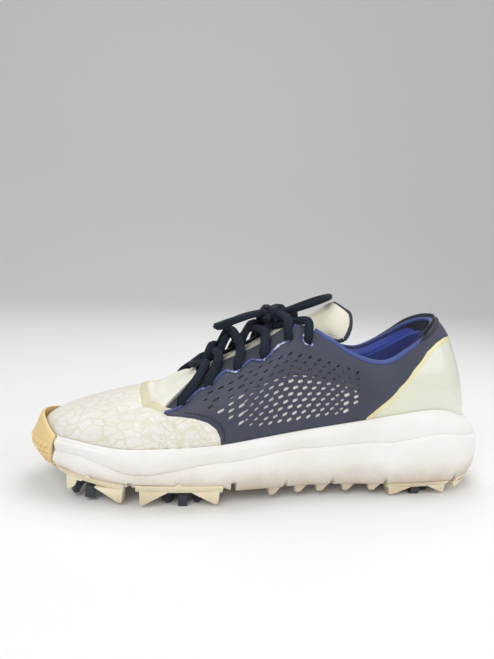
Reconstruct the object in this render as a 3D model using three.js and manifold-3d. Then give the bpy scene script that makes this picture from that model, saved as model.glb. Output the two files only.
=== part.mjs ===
// A left golf shoe as an assembly: foam midsole, clear-rubber tread pods, twist-in cleats, a layered
// upper, a padded tongue and a tied lace. Millimetres, +Z up, toe towards -X, lateral side towards -Y.
import * as THREE from 'three';
import { mergeVertices } from 'three/addons/utils/BufferGeometryUtils.js';
import Module from 'manifold-3d';

const wasm = await Module();
wasm.setup();

// ---- driving dimensions -------------------------------------------------------------------------
const LENGTH = 302;            // heel flare to toe cap
const WIDTH = 102;             // across the ball of the foot
const HEIGHT = 114;            // cleat tips to the collar's peak at the heel, before its padding
const NOMINAL = { length: 302, width: 102, height: 114 };   // the size the outlines below are drawn at

const GAP = 0.3;               // between pieces that touch
const PLY_GAP = 0.4;           // between plies of the upper, which are faceted alike
const SHELL_T = 1.5;           // outer ply: quarters, vamp, heel panel
const STIFFENER_T = 1.2;       // second ply: counter, toe puff, eyestays
const SLEEVE_T = 1.0;          // third ply: inner sleeve
const LINING_T = 1.0;
const PAD_T = 5.0;             // collar foam at its thickest
const LINING_GAP = 0.7;        // behind the collar foam, which curves more than the other plies
const CUP_LAP = 7;             // how far the upper reaches down inside the midsole's rim
const RIM_W = 2.6;             // width of the midsole's rim outside the upper
const BOARD_T = 1.5;
const INSOLE_T = 4.5;
const PIPING_R = 2.0;          // collar piping
const CAP_T = 2.2;             // toe cap over the midsole and vamp
const POD_T = 2.4;             // tread pod under the midsole
const POD_PROUD = 0.9;         // tread pod outside the midsole's side
const PLATE_T = 1.4;           // arch plate
const LUG_W = 6.5;             // width of a tread lug, across the edge it stands on
const CLEAT_R = 13.2;          // hub centre to leg tip
const CLEAT_LEG_W = 5.4;
const CLEAT_LEGS = 6;
const CLEAT_HUB_R = 7.2;
const CLEAT_HUB_T = 2.6;
const CLEAT_DROP = 6.7;        // hub's underside to leg tips
const STUD_R = 4.6;            // twist-in stud on the cleat's insert
const STUD_L = 4.8;
const SOCKET_R = 7.4;          // outside of the receptacle
const SOCKET_CLEAR = 0.35;     // between stud and receptacle
const EYELET_R = 2.9;
const LACE_R = 1.9;
const TONGUE_FACE_T = 1.2;
const TONGUE_FOAM_T = 3.6;
const TONGUE_BACK_T = 0.8;
const FLOOR_Z = -2.0;          // cleat tips, in the height the outlines are drawn in

const sx = LENGTH / NOMINAL.length;
const sy = WIDTH / NOMINAL.width;
const sz = HEIGHT / NOMINAL.height;
const at = (x, y, z) => new THREE.Vector3(x * sx, y * sy, z * sz);

// ---- the last: stations round the shoe, from heel centre to toe centre, lateral and medial --------
// plan x and half widths of the sole; the upper's inset from it; rim height; top line x, y, z;
// how far the side rises straight, and how far out and down its upper handle reaches
const STATIONS = [
  { x: 150, lat: 0, med: 0, inset: 12, rim: 46, top: [114, 0, 111], rise: 27, out: 10, down: 2 },
  { x: 144, lat: 20.5, med: 20.5, inset: 11, rim: 47, top: [110, 11, 109.5], rise: 25, out: 9, down: 3 },
  { x: 128, lat: 33.5, med: 33, inset: 9, rim: 50.5, top: [101, 20, 103.5], rise: 22, out: 8, down: 5 },
  { x: 107, lat: 38.5, med: 38, inset: 7.5, rim: 55.5, top: [87, 26, 93], rise: 13, out: 6, down: 7 },
  { x: 80, lat: 39.5, med: 38, inset: 6, rim: 53, top: [69, 29, 84], rise: 12, out: 5, down: 8 },
  { x: 48, lat: 38.5, med: 35.5, inset: 5, rim: 47.5, top: [49, 27.5, 88], rise: 16, out: 7, down: 12 },
  { x: 18, lat: 40, med: 35.5, inset: 5, rim: 43, top: [31, 23, 98.5], rise: 22, out: 9, down: 16 },
  { x: -8, lat: 44.5, med: 38.5, inset: 5, rim: 39.8, top: [11, 16, 106.5], rise: 24, out: 14, down: 16 },
  { x: -36, lat: 49.3, med: 45.8, inset: 5, rim: 36.6, top: [-13, 14, 91.5], rise: 19, out: 16, down: 12 },
  { x: -64, lat: 50.3, med: 51, inset: 5, rim: 35, top: [-36, 14, 80], rise: 16, out: 17, down: 9 },
  { x: -94, lat: 46.5, med: 49.5, inset: 4.5, rim: 33.6, top: [-56, 14, 66.5], rise: 14, out: 18, down: 6 },
  { x: -122, lat: 36, med: 40.5, inset: 5, rim: 35, top: [-70, 14, 58.5], rise: 11.5, out: 24, down: 7 },
  { x: -142.5, lat: 21.5, med: 24.5, inset: 6.4, rim: 35, top: [-76, 8.5, 61.5], rise: 11, out: 30, down: 10 },
  { x: -152, lat: -2, med: 2, inset: 7, rim: 35, top: [-78, 0, 63], rise: 11, out: 32, down: 12 },
];
const HALF = STATIONS.length - 1;
const TURN = 2 * HALF;                      // station numbers run 0..TURN round the shoe
const ringRow = (i) => {
  const side = i <= HALF ? -1 : 1;
  const row = STATIONS[side < 0 ? i : TURN - i];
  return { row, side, y: side < 0 ? -row.lat : row.med };
};
const ringCurve = (pick) => {
  const points = [];
  for (let i = 0; i < TURN; i++) points.push(pick(ringRow(i)));
  return new THREE.CatmullRomCurve3(points, true, 'catmullrom', 0.5);
};
const planCurve = ringCurve(({ row, y }) => at(row.x, y, 0));
const topCurve = ringCurve(({ row, side }) => at(row.top[0], side * row.top[1], row.top[2]));
const rimCurve = ringCurve(({ row }) => new THREE.Vector3(row.inset, row.rim * sz, row.rise * sz));
const handleCurve = ringCurve(({ row }) => new THREE.Vector3(row.out, row.down * sz, 0));
const on = (curve, s) => curve.getPoint((((s % TURN) + TURN) % TURN) / TURN);

const UP = new THREE.Vector3(0, 0, 1);
const EPS = 0.01;
function planNormal(s) {                    // outward, level
  const along = on(planCurve, s + EPS).sub(on(planCurve, s - EPS));
  return new THREE.Vector3(along.y, -along.x, 0).normalize().negate();
}
const plan = (s, out = 0) => on(planCurve, s).addScaledVector(planNormal(s), out);

// straight-line table: x along the shoe to a height
const along = (...pairs) => (x) => {
  const u = x / sx;
  if (u <= pairs[0][0]) return pairs[0][1] * sz;
  for (let i = 1; i < pairs.length; i++) {
    const [x0, z0] = pairs[i - 1];
    const [x1, z1] = pairs[i];
    if (u <= x1) {
      const k = (u - x0) / (x1 - x0);
      return (z0 + (z1 - z0) * k * k * (3 - 2 * k)) * sz;
    }
  }
  return pairs[pairs.length - 1][1] * sz;
};
const underside = along([-152, 21], [-133, 16.8], [-114, 12.8], [-88, 10.4], [-33, 10], [-25, 7.2], [6, 6.6],
  [74, 6.4], [118, 6.8], [151, 11]);
const crease = along([-152, 28], [-122, 26.5], [-84, 18.5], [-34, 26], [20, 31.5], [70, 34.6],
  [110, 40], [152, 35.5]);
const footbed = along([-152, 25], [-113, 24.8], [-86, 23.8], [-58, 25], [-8, 29.3], [48, 35],
  [80, 36.5], [152, 36.5]);

// ---- the upper's surface: s round the shoe, v from the rim (0) to the top line (1) ---------------
function surface(s, v) {
  const [inset, rimZ, rise] = on(rimCurve, s).toArray();
  const [out, down] = on(handleCurve, s).toArray();
  const n = planNormal(s);
  const foot = plan(s, -inset).setZ(rimZ);
  if (v <= 0) return foot.addScaledVector(UP, v * CUP_LAP).addScaledVector(n, v * 0.6);
  const top = on(topCurve, s);
  const h1 = foot.clone().addScaledVector(UP, rise);
  const h2 = top.clone().addScaledVector(n, out).addScaledVector(UP, -down);
  return new THREE.CubicBezierCurve3(foot, h1, h2, top).getPoint(v);
}
function normal(s, v) {
  const w = Math.min(Math.max(v, EPS), 1 - EPS);
  const ds = surface(s + EPS, w).sub(surface(s - EPS, w));
  const dv = surface(s, w + EPS).sub(surface(s, w - EPS));
  return ds.cross(dv).normalize().negate();
}
const skin = (s, v, d = 0) => surface(s, v).addScaledVector(normal(s, v), d);
const sideLength = (s) => surface(s, 0).distanceTo(surface(s, 0.5))
  + surface(s, 0.5).distanceTo(surface(s, 1));
const vBelowTop = (s, distance) => 1 - distance / sideLength(s);

// ---- mesh and boolean helpers ---------------------------------------------------------------------
function geometryOf(points, faces) {
  const geometry = new THREE.BufferGeometry();
  const flat = points.flatMap((p) => [p.x, p.y, p.z]);
  geometry.setAttribute('position', new THREE.Float32BufferAttribute(flat, 3));
  geometry.setIndex(faces.flat());
  return geometry;
}
function solid(geometry) {
  const bare = geometry.clone();
  for (const name of Object.keys(bare.attributes)) if (name !== 'position') bare.deleteAttribute(name);
  const merged = mergeVertices(bare, 1e-3);
  const triVerts = new Uint32Array(merged.index.array);
  const corner = (i) => new THREE.Vector3().fromBufferAttribute(merged.attributes.position, triVerts[i]);
  let volume = 0;
  for (let i = 0; i < triVerts.length; i += 3) volume += corner(i).dot(corner(i + 1).cross(corner(i + 2)));
  if (volume < 0) {                         // faces point in: turn every triangle over
    for (let i = 0; i < triVerts.length; i += 3) {
      [triVerts[i], triVerts[i + 1]] = [triVerts[i + 1], triVerts[i]];
    }
  }
  const vertProperties = new Float32Array(merged.attributes.position.array);
  return new wasm.Manifold(new wasm.Mesh({ numProp: 3, vertProperties, triVerts }));
}
const FLAT = 0.08;                          // facets closer to flat than this are merged
function toGeometry(body) {
  const mesh = body.simplify(FLAT).getMesh();
  const geometry = new THREE.BufferGeometry();
  geometry.setAttribute('position', new THREE.BufferAttribute(new Float32Array(mesh.vertProperties), 3));
  geometry.setIndex(new THREE.BufferAttribute(new Uint32Array(mesh.triVerts), 1));
  return geometry;
}
const join = (bodies) => bodies.reduce((all, body) => all.add(body));
const cut = (body, tools) => tools.reduce((rest, tool) => rest.subtract(tool), body);

// closed skin between two equal grids of points; rows run along the first index
function between(outer, inner, closed) {
  const rows = outer.length;
  const cols = outer[0].length;
  const points = [...outer.flat(), ...inner.flat()];
  const o = (i, j) => (i % rows) * cols + j;
  const n = (i, j) => rows * cols + o(i, j);
  const faces = [];
  const quad = (a, b, c, d) => faces.push([a, b, c], [a, c, d]);
  const spans = closed ? rows : rows - 1;
  for (let i = 0; i < spans; i++) {
    for (let j = 0; j < cols - 1; j++) {
      quad(o(i, j), o(i, j + 1), o(i + 1, j + 1), o(i + 1, j));
      quad(n(i, j), n(i + 1, j), n(i + 1, j + 1), n(i, j + 1));
    }
    quad(o(i, 0), o(i + 1, 0), n(i + 1, 0), n(i, 0));
    quad(o(i, cols - 1), n(i, cols - 1), n(i + 1, cols - 1), o(i + 1, cols - 1));
  }
  if (!closed) {
    for (let j = 0; j < cols - 1; j++) {
      quad(o(0, j), n(0, j), n(0, j + 1), o(0, j + 1));
      quad(o(rows - 1, j), o(rows - 1, j + 1), n(rows - 1, j + 1), n(rows - 1, j));
    }
  }
  return solid(geometryOf(points, faces));
}
// solid of stacked rings round the shoe; each ring is closed across by matching lateral and medial points
function stack(rings) {
  const count = rings[0].length;
  const half = count / 2;
  const points = rings.flat();
  const faces = [];
  const quad = (a, b, c, d) => faces.push([a, b, c], [a, c, d]);
  for (let r = 0; r < rings.length - 1; r++) {
    for (let i = 0; i < count; i++) {
      const k = (i + 1) % count;
      quad(r * count + i, r * count + k, (r + 1) * count + k, (r + 1) * count + i);
    }
  }
  const lid = (base, flip) => {
    const face = (a, b, c) => faces.push(flip ? [a, c, b] : [a, b, c]);
    const across = (i) => base + ((count - i) % count);
    face(base, across(1), base + 1);
    for (let i = 1; i < half - 1; i++) {
      face(base + i, across(i), across(i + 1));
      face(base + i, across(i + 1), base + i + 1);
    }
    face(base + half - 1, across(half - 1), base + half);
  };
  lid(0, false);
  lid((rings.length - 1) * count, true);
  return solid(geometryOf(points, faces));
}
const linspace = (a, b, n) => Array.from({ length: n + 1 }, (_, i) => a + (b - a) * i / n);
const RING_N = 52;                          // samples round the shoe, two to a station
const RING_S = linspace(0, TURN, RING_N).slice(0, RING_N);
const ring = (point) => RING_S.map(point);

function tube(points, radius, sides = 8, steps = 40) {
  const path = new THREE.CatmullRomCurve3(points, false, 'centripetal');
  const section = new THREE.Shape();
  for (let i = 0; i <= sides; i++) {
    const a = (i % sides) / sides * 2 * Math.PI;
    if (i === 0) section.moveTo(radius, 0);
    else section.lineTo(radius * Math.cos(a), radius * Math.sin(a));
  }
  const settings = { steps, extrudePath: path, bevelEnabled: false, curveSegments: 1 };
  return solid(new THREE.ExtrudeGeometry(section, settings));
}
function placed(geometry, position, axis = UP, turn = 0) {
  const spin = new THREE.Quaternion().setFromAxisAngle(UP, turn);
  const tilt = new THREE.Quaternion().setFromUnitVectors(UP, axis);
  const matrix = new THREE.Matrix4().compose(position, tilt.multiply(spin), new THREE.Vector3(1, 1, 1));
  return geometry.clone().applyMatrix4(matrix);
}
function rod(radius, length, position, axis = UP, sides = 12) {    // from position along axis
  const geometry = new THREE.CylinderGeometry(radius, radius, length, sides);
  geometry.rotateX(Math.PI / 2).translate(0, 0, length / 2);
  return solid(placed(geometry, position, axis));
}
function block(low, high) {
  const size = high.clone().sub(low);
  const geometry = new THREE.BoxGeometry(size.x, size.y, size.z);
  return solid(geometry.translate((low.x + high.x) / 2, (low.y + high.y) / 2, (low.z + high.z) / 2));
}

// ---- sole ------------------------------------------------------------------------------------------
const CAP_SPAN = 1.44;                      // the toe cap's rear edges, in stations from the toe
const CAP_FROM = HALF - CAP_SPAN;
const CAP_TO = HALF + CAP_SPAN;
const inCap = (s) => (s > CAP_FROM && s < CAP_TO ? 1 : 0);
// the midsole's outer body; grow moves its side out and drop moves its underside down
function soleRings(grow, drop, capRecess) {
  const rim = (s) => on(rimCurve, s);
  const wall = (s) => rim(s).x - RIM_W;     // how far the rim's outer edge stands in from the flare
  const side = (out, z) => ring((s) => {
    const recess = capRecess * inCap(s);
    const p = plan(s, out(s) + grow - recess);
    return p.setZ(z(s, p.x));
  });
  return [
    side(() => -5, (s, x) => underside(x) - drop),
    side(() => -1.3, (s, x) => underside(x) + 3.4 * sz - drop * 0.6),
    side(() => 0, (s, x) => (underside(x) + crease(x)) / 2),
    side(() => -1.6, (s, x) => crease(x) - 1.2),
    side((s) => -1 - wall(s) * 0.2, (s, x) => crease(x) + 2),
    side((s) => -wall(s) * 0.62 + 0.6, (s, x) => (crease(x) + 2 + rim(s).y) / 2),
    side((s) => -wall(s) * 0.97, (s) => rim(s).y - 1.8),
    side((s) => -wall(s) - 0.9, (s) => rim(s).y),
  ];
}
const cupRing = (gap, z) => ring((s) => {
  const p = plan(s, -on(rimCurve, s).x + gap);
  return p.setZ(z(s, p.x));
});
const soleBlank = (grow, drop) => stack(soleRings(grow, drop, 0));
const stationAt = (x, side) => {            // where the plan reaches x on one side
  let [low, high] = side < 0 ? [0, HALF] : [TURN, HALF];
  for (let i = 0; i < 40; i++) {
    const mid = (low + high) / 2;
    if (plan(mid).x > x) low = mid;
    else high = mid;
  }
  return (low + high) / 2;
};
// slab between two plan x values and under a line of [x, z] points, right across the shoe
function underLine(points, floor) {
  const outline = new THREE.Shape();
  outline.moveTo(points[0][0] * sx, floor);
  for (const [x, z] of points) outline.lineTo(x * sx, z * sz);
  outline.lineTo(points[points.length - 1][0] * sx, floor);
  const geometry = new THREE.ExtrudeGeometry(outline, { depth: 2 * WIDTH, bevelEnabled: false });
  geometry.rotateX(Math.PI / 2).translate(0, WIDTH, 0);
  return solid(geometry);
}
// cleat places: plan x, y; the toe pair tilts with the toe spring, the heel pair sits in pockets
const CLEATS = [
  { name: 'toe_lateral', x: -110, y: -23 },
  { name: 'toe_medial', x: -113, y: 24 },
  { name: 'ball_lateral', x: -56, y: -31 },
  { name: 'ball_medial', x: -60, y: 32 },
  { name: 'heel_lateral', x: 96, y: -20 },
  { name: 'heel_medial', x: 96, y: 20 },
];
const CLEAT_H = CLEAT_HUB_T + CLEAT_DROP;
for (const cleat of CLEATS) {
  const x = cleat.x * sx;
  const slope = (underside(x + 8) - underside(x - 8)) / 16;
  const tilted = Math.abs(slope) > 0.05;
  cleat.axis = new THREE.Vector3(tilted ? -slope : 0, 0, 1).normalize();
  const plate = underside(x) - POD_T - GAP;
  const seat = tilted ? plate : FLOOR_Z * sz + CLEAT_H;
  cleat.seat = new THREE.Vector3(x, cleat.y * sy, seat);           // centre of the hub's top face
}
const SOCKET_H = STUD_L + 2.4;
const socketHoles = CLEATS.map(({ seat, axis }) => rod(SOCKET_R + GAP, SOCKET_H + GAP + 9,
  seat.clone().addScaledVector(axis, GAP - 9), axis, 10));
const cleatPockets = CLEATS.map(({ seat, axis }) => rod(CLEAT_R + 1.2, 14,
  seat.clone().addScaledVector(axis, GAP - 14), axis, 14));

const FLEX_X = -26.3;                       // groove right across, behind the ball
const FLEX_W = 3.4;
const NOTCH_X = [6.7, 37.5, 73, 122];       // small side notches in the lower edge
const NOTCH_W = 2.4;
const NOTCH_DEEP = 6;
const RIB_X = -87;                          // side groove between the two forefoot pods
const TEETH_X = [-3, 14, 28, 45, 62];       // little points along the arch's lower edge
const sideCut = (x, width, top, side) => {
  const s = stationAt(x * sx, side);
  const p = plan(s, 0);
  const inner = plan(s, -NOTCH_DEEP);
  const y = [p.y + side * 8, inner.y].sort((a, b) => a - b);
  return block(new THREE.Vector3(p.x - width / 2, y[0], -5), new THREE.Vector3(p.x + width / 2, y[1], top));
};
// a tread lug or tooth: upright on one face, sloping on the other, along the sole's edge
function lug(x, side, { reach, tip, top, width = LUG_W, flat = 3, inset = 3.4 }) {
  const profile = new THREE.Shape();
  profile.moveTo(0, top);
  profile.lineTo(0.6 * Math.sign(reach), tip);
  profile.lineTo(flat * Math.sign(reach), tip);
  profile.lineTo(reach, top);
  const geometry = new THREE.ExtrudeGeometry(profile, { depth: width, bevelEnabled: false });
  geometry.rotateX(Math.PI / 2).translate(0, width / 2, 0);
  const s = stationAt(x * sx, side);
  const p = plan(s, -inset - width / 2);
  const ahead = plan(s + 0.1, 0).sub(plan(s - 0.1, 0));
  const turn = Math.atan2(ahead.y, ahead.x) + (side < 0 ? Math.PI : 0);
  return solid(geometry.rotateZ(turn).translate(p.x, p.y, 0));
}
const SIDES = [-1, 1];
const podTop = (x) => underside(x * sx) - POD_T + 0.9;
const podFit = soleBlank(GAP, GAP);
const podOuter = soleBlank(POD_PROUD, POD_T);
function pod(topLine, lugs) {
  const shell = podOuter.intersect(underLine(topLine, -20)).subtract(podFit);
  const feet = lugs.flatMap(([x, spec]) => SIDES.map((side) => lug(x, side, { top: podTop(x), ...spec })));
  return cut(join([shell, ...feet]), [...socketHoles, ...cleatPockets, podFit]);
}
const toePod = pod([[-130, 18], [-114, 14.6], [-111.6, 17], [-109, 14.2], [-90.4, 13]],
  [[-127, { reach: 15, tip: 4.6 }], [-91.8, { reach: -17, tip: 1 }]]);
const ballPod = pod([[-83.7, 13.6], [-61.5, 13.2], [-58.7, 15.6], [-56, 13.2], [-32.7, 12.6]],
  [[-82, { reach: 17, tip: 0.4 }], [-34, { reach: -17, tip: 0.4 }]]);
const heelPod = pod([[75, 7.4], [118, 7.8]],
  [[76, { reach: 16, tip: -0.4, width: 9 }], [117, { reach: -14, tip: 0, width: 9 }]]);
const heelTip = pod([[123.5, 9.5], [135.5, 11]], [[124.5, { reach: 9, tip: 2.2, width: 8 }]]);

const teeth = TEETH_X.flatMap((x) => SIDES.map((side) => lug(x, side,
  { reach: 9, flat: 4, tip: 2.4, width: 5, top: underside(x * sx) + 0.8 })));
const midsole = cut(join([
  stack([
    ...soleRings(0, 0, CAP_T),
    cupRing(GAP, (s) => on(rimCurve, s).y - 0.2),
    cupRing(GAP, (s, x) => footbed(x)),
  ]),
  ...teeth,
]), [
  ...socketHoles, ...cleatPockets,
  block(
    at(FLEX_X, -80, -5).setX(FLEX_X * sx - FLEX_W / 2),
    at(FLEX_X, 80, 14).setX(FLEX_X * sx + FLEX_W / 2),
  ),
  ...SIDES.flatMap((side) => [
    ...NOTCH_X.map((x) => sideCut(x, NOTCH_W, underside(x * sx) + 3.6, side)),
    sideCut(RIB_X, NOTCH_W, underside(RIB_X * sx) + 4.4, side),
  ]),
]);
const archPlate = (() => {                  // springy plate under the arch, between flex groove and heel pod
  const outline = new THREE.Shape();
  const half = (x) => (x < 25 ? 17 : 15) * sy;
  const stations = [-20, -8, 25, 58, 70];
  stations.forEach((x, i) => outline[i ? 'lineTo' : 'moveTo'](x * sx, -half(x) * (i % 4 ? 1 : 0.7)));
  [...stations].reverse().forEach((x, i) => outline.lineTo(x * sx, half(x) * (i % 4 ? 1 : 0.7)));
  const geometry = new THREE.ExtrudeGeometry(outline, { depth: PLATE_T, bevelEnabled: false });
  return solid(geometry.translate(0, 0, underside(70 * sx) - GAP - PLATE_T));
})();

function receptacle({ seat, axis }) {
  const base = seat.clone().addScaledVector(axis, GAP);
  const cup = rod(SOCKET_R, SOCKET_H, base, axis, 10);
  const bore = rod(STUD_R + SOCKET_CLEAR, STUD_L + 0.8 + 2, base.clone().addScaledVector(axis, -2), axis);
  return cup.subtract(bore);
}
const SPIGOT_R = 3;
const SPIGOT_L = 1.5;
function cleatInsert({ seat, axis }) {
  const stud = rod(STUD_R, STUD_L, seat.clone().addScaledVector(axis, GAP), axis);
  return stud.add(rod(SPIGOT_R, SPIGOT_L + GAP + 0.5, seat.clone().addScaledVector(axis, -SPIGOT_L), axis));
}
function cleatTread({ seat, axis }) {
  const leg = new THREE.Shape();
  const foot = -CLEAT_H;
  const outline = [[1, -0.6], [1, -CLEAT_HUB_T + 0.4], [7.6, -CLEAT_HUB_T - 1.6], [9.6, foot], [12.4, foot],
    [CLEAT_R, foot + 2.2], [CLEAT_R - 0.8, -2.4], [9.4, -0.7], [6.4, -0.25]];
  outline.forEach(([r, z], i) => leg[i ? 'lineTo' : 'moveTo'](r, z));
  const geometry = new THREE.ExtrudeGeometry(leg, { depth: CLEAT_LEG_W, bevelEnabled: false });
  geometry.rotateX(Math.PI / 2).translate(0, CLEAT_LEG_W / 2, 0);
  const legs = linspace(0, 2 * Math.PI, CLEAT_LEGS).slice(0, CLEAT_LEGS)
    .map((turn) => solid(placed(geometry, seat, axis, turn + Math.PI / CLEAT_LEGS)));
  const hub = rod(CLEAT_HUB_R, CLEAT_HUB_T, seat.clone().addScaledVector(axis, -CLEAT_HUB_T), axis);
  const pocketEnd = seat.clone().addScaledVector(axis, -SPIGOT_L - GAP);
  const pocket = rod(SPIGOT_R + GAP, SPIGOT_L + GAP + 2, pocketEnd, axis);
  return join([hub, ...legs]).subtract(pocket);
}

// ---- inside the cup --------------------------------------------------------------------------------
const UPPER_T = SHELL_T + PLY_GAP + STIFFENER_T + PLY_GAP + SLEEVE_T;
const boardBase = (x) => footbed(x) + GAP;
const flatPiece = (inset, base, thick) => stack([
  cupRing(-inset, (s, x) => base(x)),
  cupRing(-inset, (s, x) => base(x) + thick),
]);
const strobelBoard = flatPiece(0.4, boardBase, BOARD_T);
const insoleBase = (x) => boardBase(x) + BOARD_T + GAP;
const insole = flatPiece(UPPER_T + LINING_GAP + LINING_T + 1.5, insoleBase, INSOLE_T);

// ---- upper -------------------------------------------------------------------------------------------
const PLY_V = [-1, 0, 0.2, 0.44, 0.7, 0.88, 1];
const fromHeel = (s) => {
  const u = ((s % TURN) + TURN) % TURN;
  return Math.min(u, TURN - u);
};
const ramp = (x, a, b) => {
  const k = Math.min(Math.max((x - a) / (b - a), 0), 1);
  return k * k * (3 - 2 * k);
};
const pad = (s, v) => PAD_T * (1 - ramp(fromHeel(s), 3.6, 6.4)) * ramp(v, 0.12, 0.5)
  * (1 - 0.35 * ramp(v, 0.85, 1));
const depthOf = { shell: 0, stiffener: SHELL_T + PLY_GAP };
depthOf.sleeve = depthOf.stiffener + STIFFENER_T + PLY_GAP;
depthOf.foam = depthOf.sleeve + SLEEVE_T + PLY_GAP;
const ply = (outer, inner) => between(
  ring((s) => PLY_V.map((v) => skin(s, v, -outer(s, v)))),
  ring((s) => PLY_V.map((v) => skin(s, v, -inner(s, v)))), true);
const evenPly = (depth, thick) => ply(() => depth, () => depth + thick);
// thick cutters: everything between two stations, or between two heights, of the upper
const CUT_OUT = 3;
const CUT_IN = -5;
const CUT_COLLAR = -16;                     // deep enough for the padded collar
const V_LOW = -1.4;
const V_HIGH = 1.06;
const thickPatch = (grid, depth) => between(
  grid.map((row) => row.map(([s, v]) => skin(s, v, CUT_OUT))),
  grid.map((row) => row.map(([s, v]) => skin(s, v, depth))), false);
const bandS = (sA, sB, steps = 8) => thickPatch(linspace(0, 1, steps).map((a) =>
  linspace(V_LOW, V_HIGH, 12).map((v) => [sA(v) + (sB(v) - sA(v)) * a, v])), CUT_IN);
const bandV = (s0, s1, vA, vB, steps = 9, depth = CUT_IN) => thickPatch(linspace(s0, s1, steps).map((s) =>
  linspace(0, 1, 4).map((b) => [s, vA(s) + (vB(s) - vA(s)) * b])), depth);
const lineThrough = (pairs) => (x) => {     // straight runs between [x, y] pairs
  if (x <= pairs[0][0]) return pairs[0][1];
  for (let i = 1; i < pairs.length; i++) {
    if (x <= pairs[i][0]) {
      const k = (x - pairs[i - 1][0]) / (pairs[i][0] - pairs[i - 1][0]);
      return pairs[i - 1][1] + (pairs[i][1] - pairs[i - 1][1]) * k;
    }
  }
  return pairs[pairs.length - 1][1];
};
const SEAM = 0.012;                         // half a seam, in stations
// height of the heel panel's top edge, and the station where the quarter ends in front
const panelTop = lineThrough([[0, 0.58], [0.7, 0.69], [1.4, 0.75], [2, 0.776], [2.5, 0.77], [3.2, 0.665],
  [3.83, 0.475], [4.37, 0.19], [4.7, 0], [4.85, -1.5]]);
const quarterFront = lineThrough([[0, 7.94], [0.07, 7.97], [0.16, 8.11], [0.24, 8.37], [0.3, 8.71],
  [0.35, 9.1], [0.39, 9.44], [0.44, 9.61], [0.49, 9.67], [0.62, 9.77], [1, 9.79]]);
// the quarter's scalloped edge, dipping round each eyelet; the eyestay shows above it
const shellTop = lineThrough([[6.98, 1.1], [7.06, 0.88], [7.15, 0.81], [7.38, 0.82], [7.52, 0.77],
  [7.7, 0.75], [7.9, 0.79], [8.08, 0.82], [8.37, 0.74], [8.62, 0.79], [8.82, 0.755], [8.97, 0.645],
  [9.16, 0.645], [9.29, 0.56], [9.36, 0.48], [9.65, 0.45], [9.9, 0.45]]);
const eyestayLow = lineThrough([[6.7, 0.76], [7.2, 0.72], [7.7, 0.68], [8.4, 0.67], [8.7, 0.62],
  [9.0, 0.56], [9.36, 0.4], [9.8, 0.4]]);
// the throat's band climbs from the quarters' tips to the middle; a pad fills the throat behind it
const BAND_S = 9.3;                         // the band's ends, under the quarters' tips
const BAND_SEAM = 0.006;                    // half a seam, in heights
const bandLow = lineThrough([[BAND_S, 0.38], [9.61, 0.43], [10.29, 0.61], [11, 0.77], [11.84, 0.88],
  [12.57, 0.923], [13, 0.935]]);
const bandHigh = lineThrough([[BAND_S, 0.44], [9.72, 0.5], [10.3, 0.7], [10.8, 0.833], [11.77, 0.943],
  [13, 0.985]]);
const shell = evenPly(depthOf.shell, SHELL_T);
const panelCut = (seam) => bandV(-4.7, 4.7, () => V_LOW, (s) => panelTop(fromHeel(s)) + seam, 36);
const heelPanel = shell.intersect(panelCut(-0.004));
const STRIP = [6.98, 9.9];                   // where the scalloped edge starts and ends
const stripCut = (side) => bandV(side < 0 ? STRIP[0] : TURN - STRIP[1], side < 0 ? STRIP[1] : TURN - STRIP[0],
  (s) => Math.min(shellTop(fromHeel(s)) + 0.004, V_HIGH - 0.01), () => V_HIGH, 40);
const panelHole = panelCut(0.004);
function quarter(side) {
  const reach = side < 0
    ? bandS(() => SEAM, (v) => quarterFront(v) - SEAM, 20)
    : bandS((v) => TURN - quarterFront(v) + SEAM, () => TURN - SEAM, 20);
  return cut(shell.intersect(reach), [panelHole, stripCut(side)]);
}
const aboveBand = (edge, seam) => bandV(BAND_S, TURN - BAND_S,
  (s) => edge(fromHeel(s)) + seam, () => V_HIGH, 30);
const front = cut(shell, [                  // what the two quarters leave of the outer ply
  bandS(() => -0.3, (v) => quarterFront(v) + SEAM, 20),
  bandS((v) => TURN - quarterFront(v) - SEAM, () => TURN + 0.3, 20),
]);
const vamp = front.subtract(aboveBand(bandLow, -BAND_SEAM));
const largest = (body) => body.decompose().sort((a, b) => b.volume() - a.volume())[0];
const throatBand = largest(front.intersect(aboveBand(bandLow, BAND_SEAM))
  .subtract(aboveBand(bandHigh, -BAND_SEAM)));
const throatPad = largest(front.intersect(aboveBand(bandHigh, BAND_SEAM)));

const stiffener = evenPly(depthOf.stiffener, STIFFENER_T);
const heelCounter = stiffener.intersect(bandV(-3.4, 3.4, () => V_LOW, () => 0.66, 20));
const toePuff = stiffener.intersect(bandV(11.4, TURN - 11.4, () => V_LOW, () => 0.3, 12));
const eyestay = (side) => stiffener.intersect(side < 0
  ? bandV(6.7, 9.75, (s) => eyestayLow(s), () => V_HIGH, 16)
  : bandV(TURN - 9.75, TURN - 6.7, (s) => eyestayLow(TURN - s), () => V_HIGH, 16));
const sleeve = evenPly(depthOf.sleeve, SLEEVE_T);
const COLLAR_S = 6.3;                       // the collar piping's front ends
const LINING_S = 5.75;                      // the collar lining's front ends
const foamDepth = () => depthOf.foam;
const foamBack = (s, v) => depthOf.foam + Math.max(pad(s, v), 0.05);
const collarFoam = ply(foamDepth, foamBack)
  .intersect(bandV(-5.6, 5.6, () => 0.26, () => 0.97, 12, CUT_COLLAR));
const liningFace = (s, v) => depthOf.foam + pad(s, v) + LINING_GAP;
const collarLining = ply(liningFace, (s, v) => liningFace(s, v) + LINING_T)
  .intersect(bandV(-LINING_S, LINING_S, () => V_LOW, () => V_HIGH, 12, CUT_COLLAR));

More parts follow.
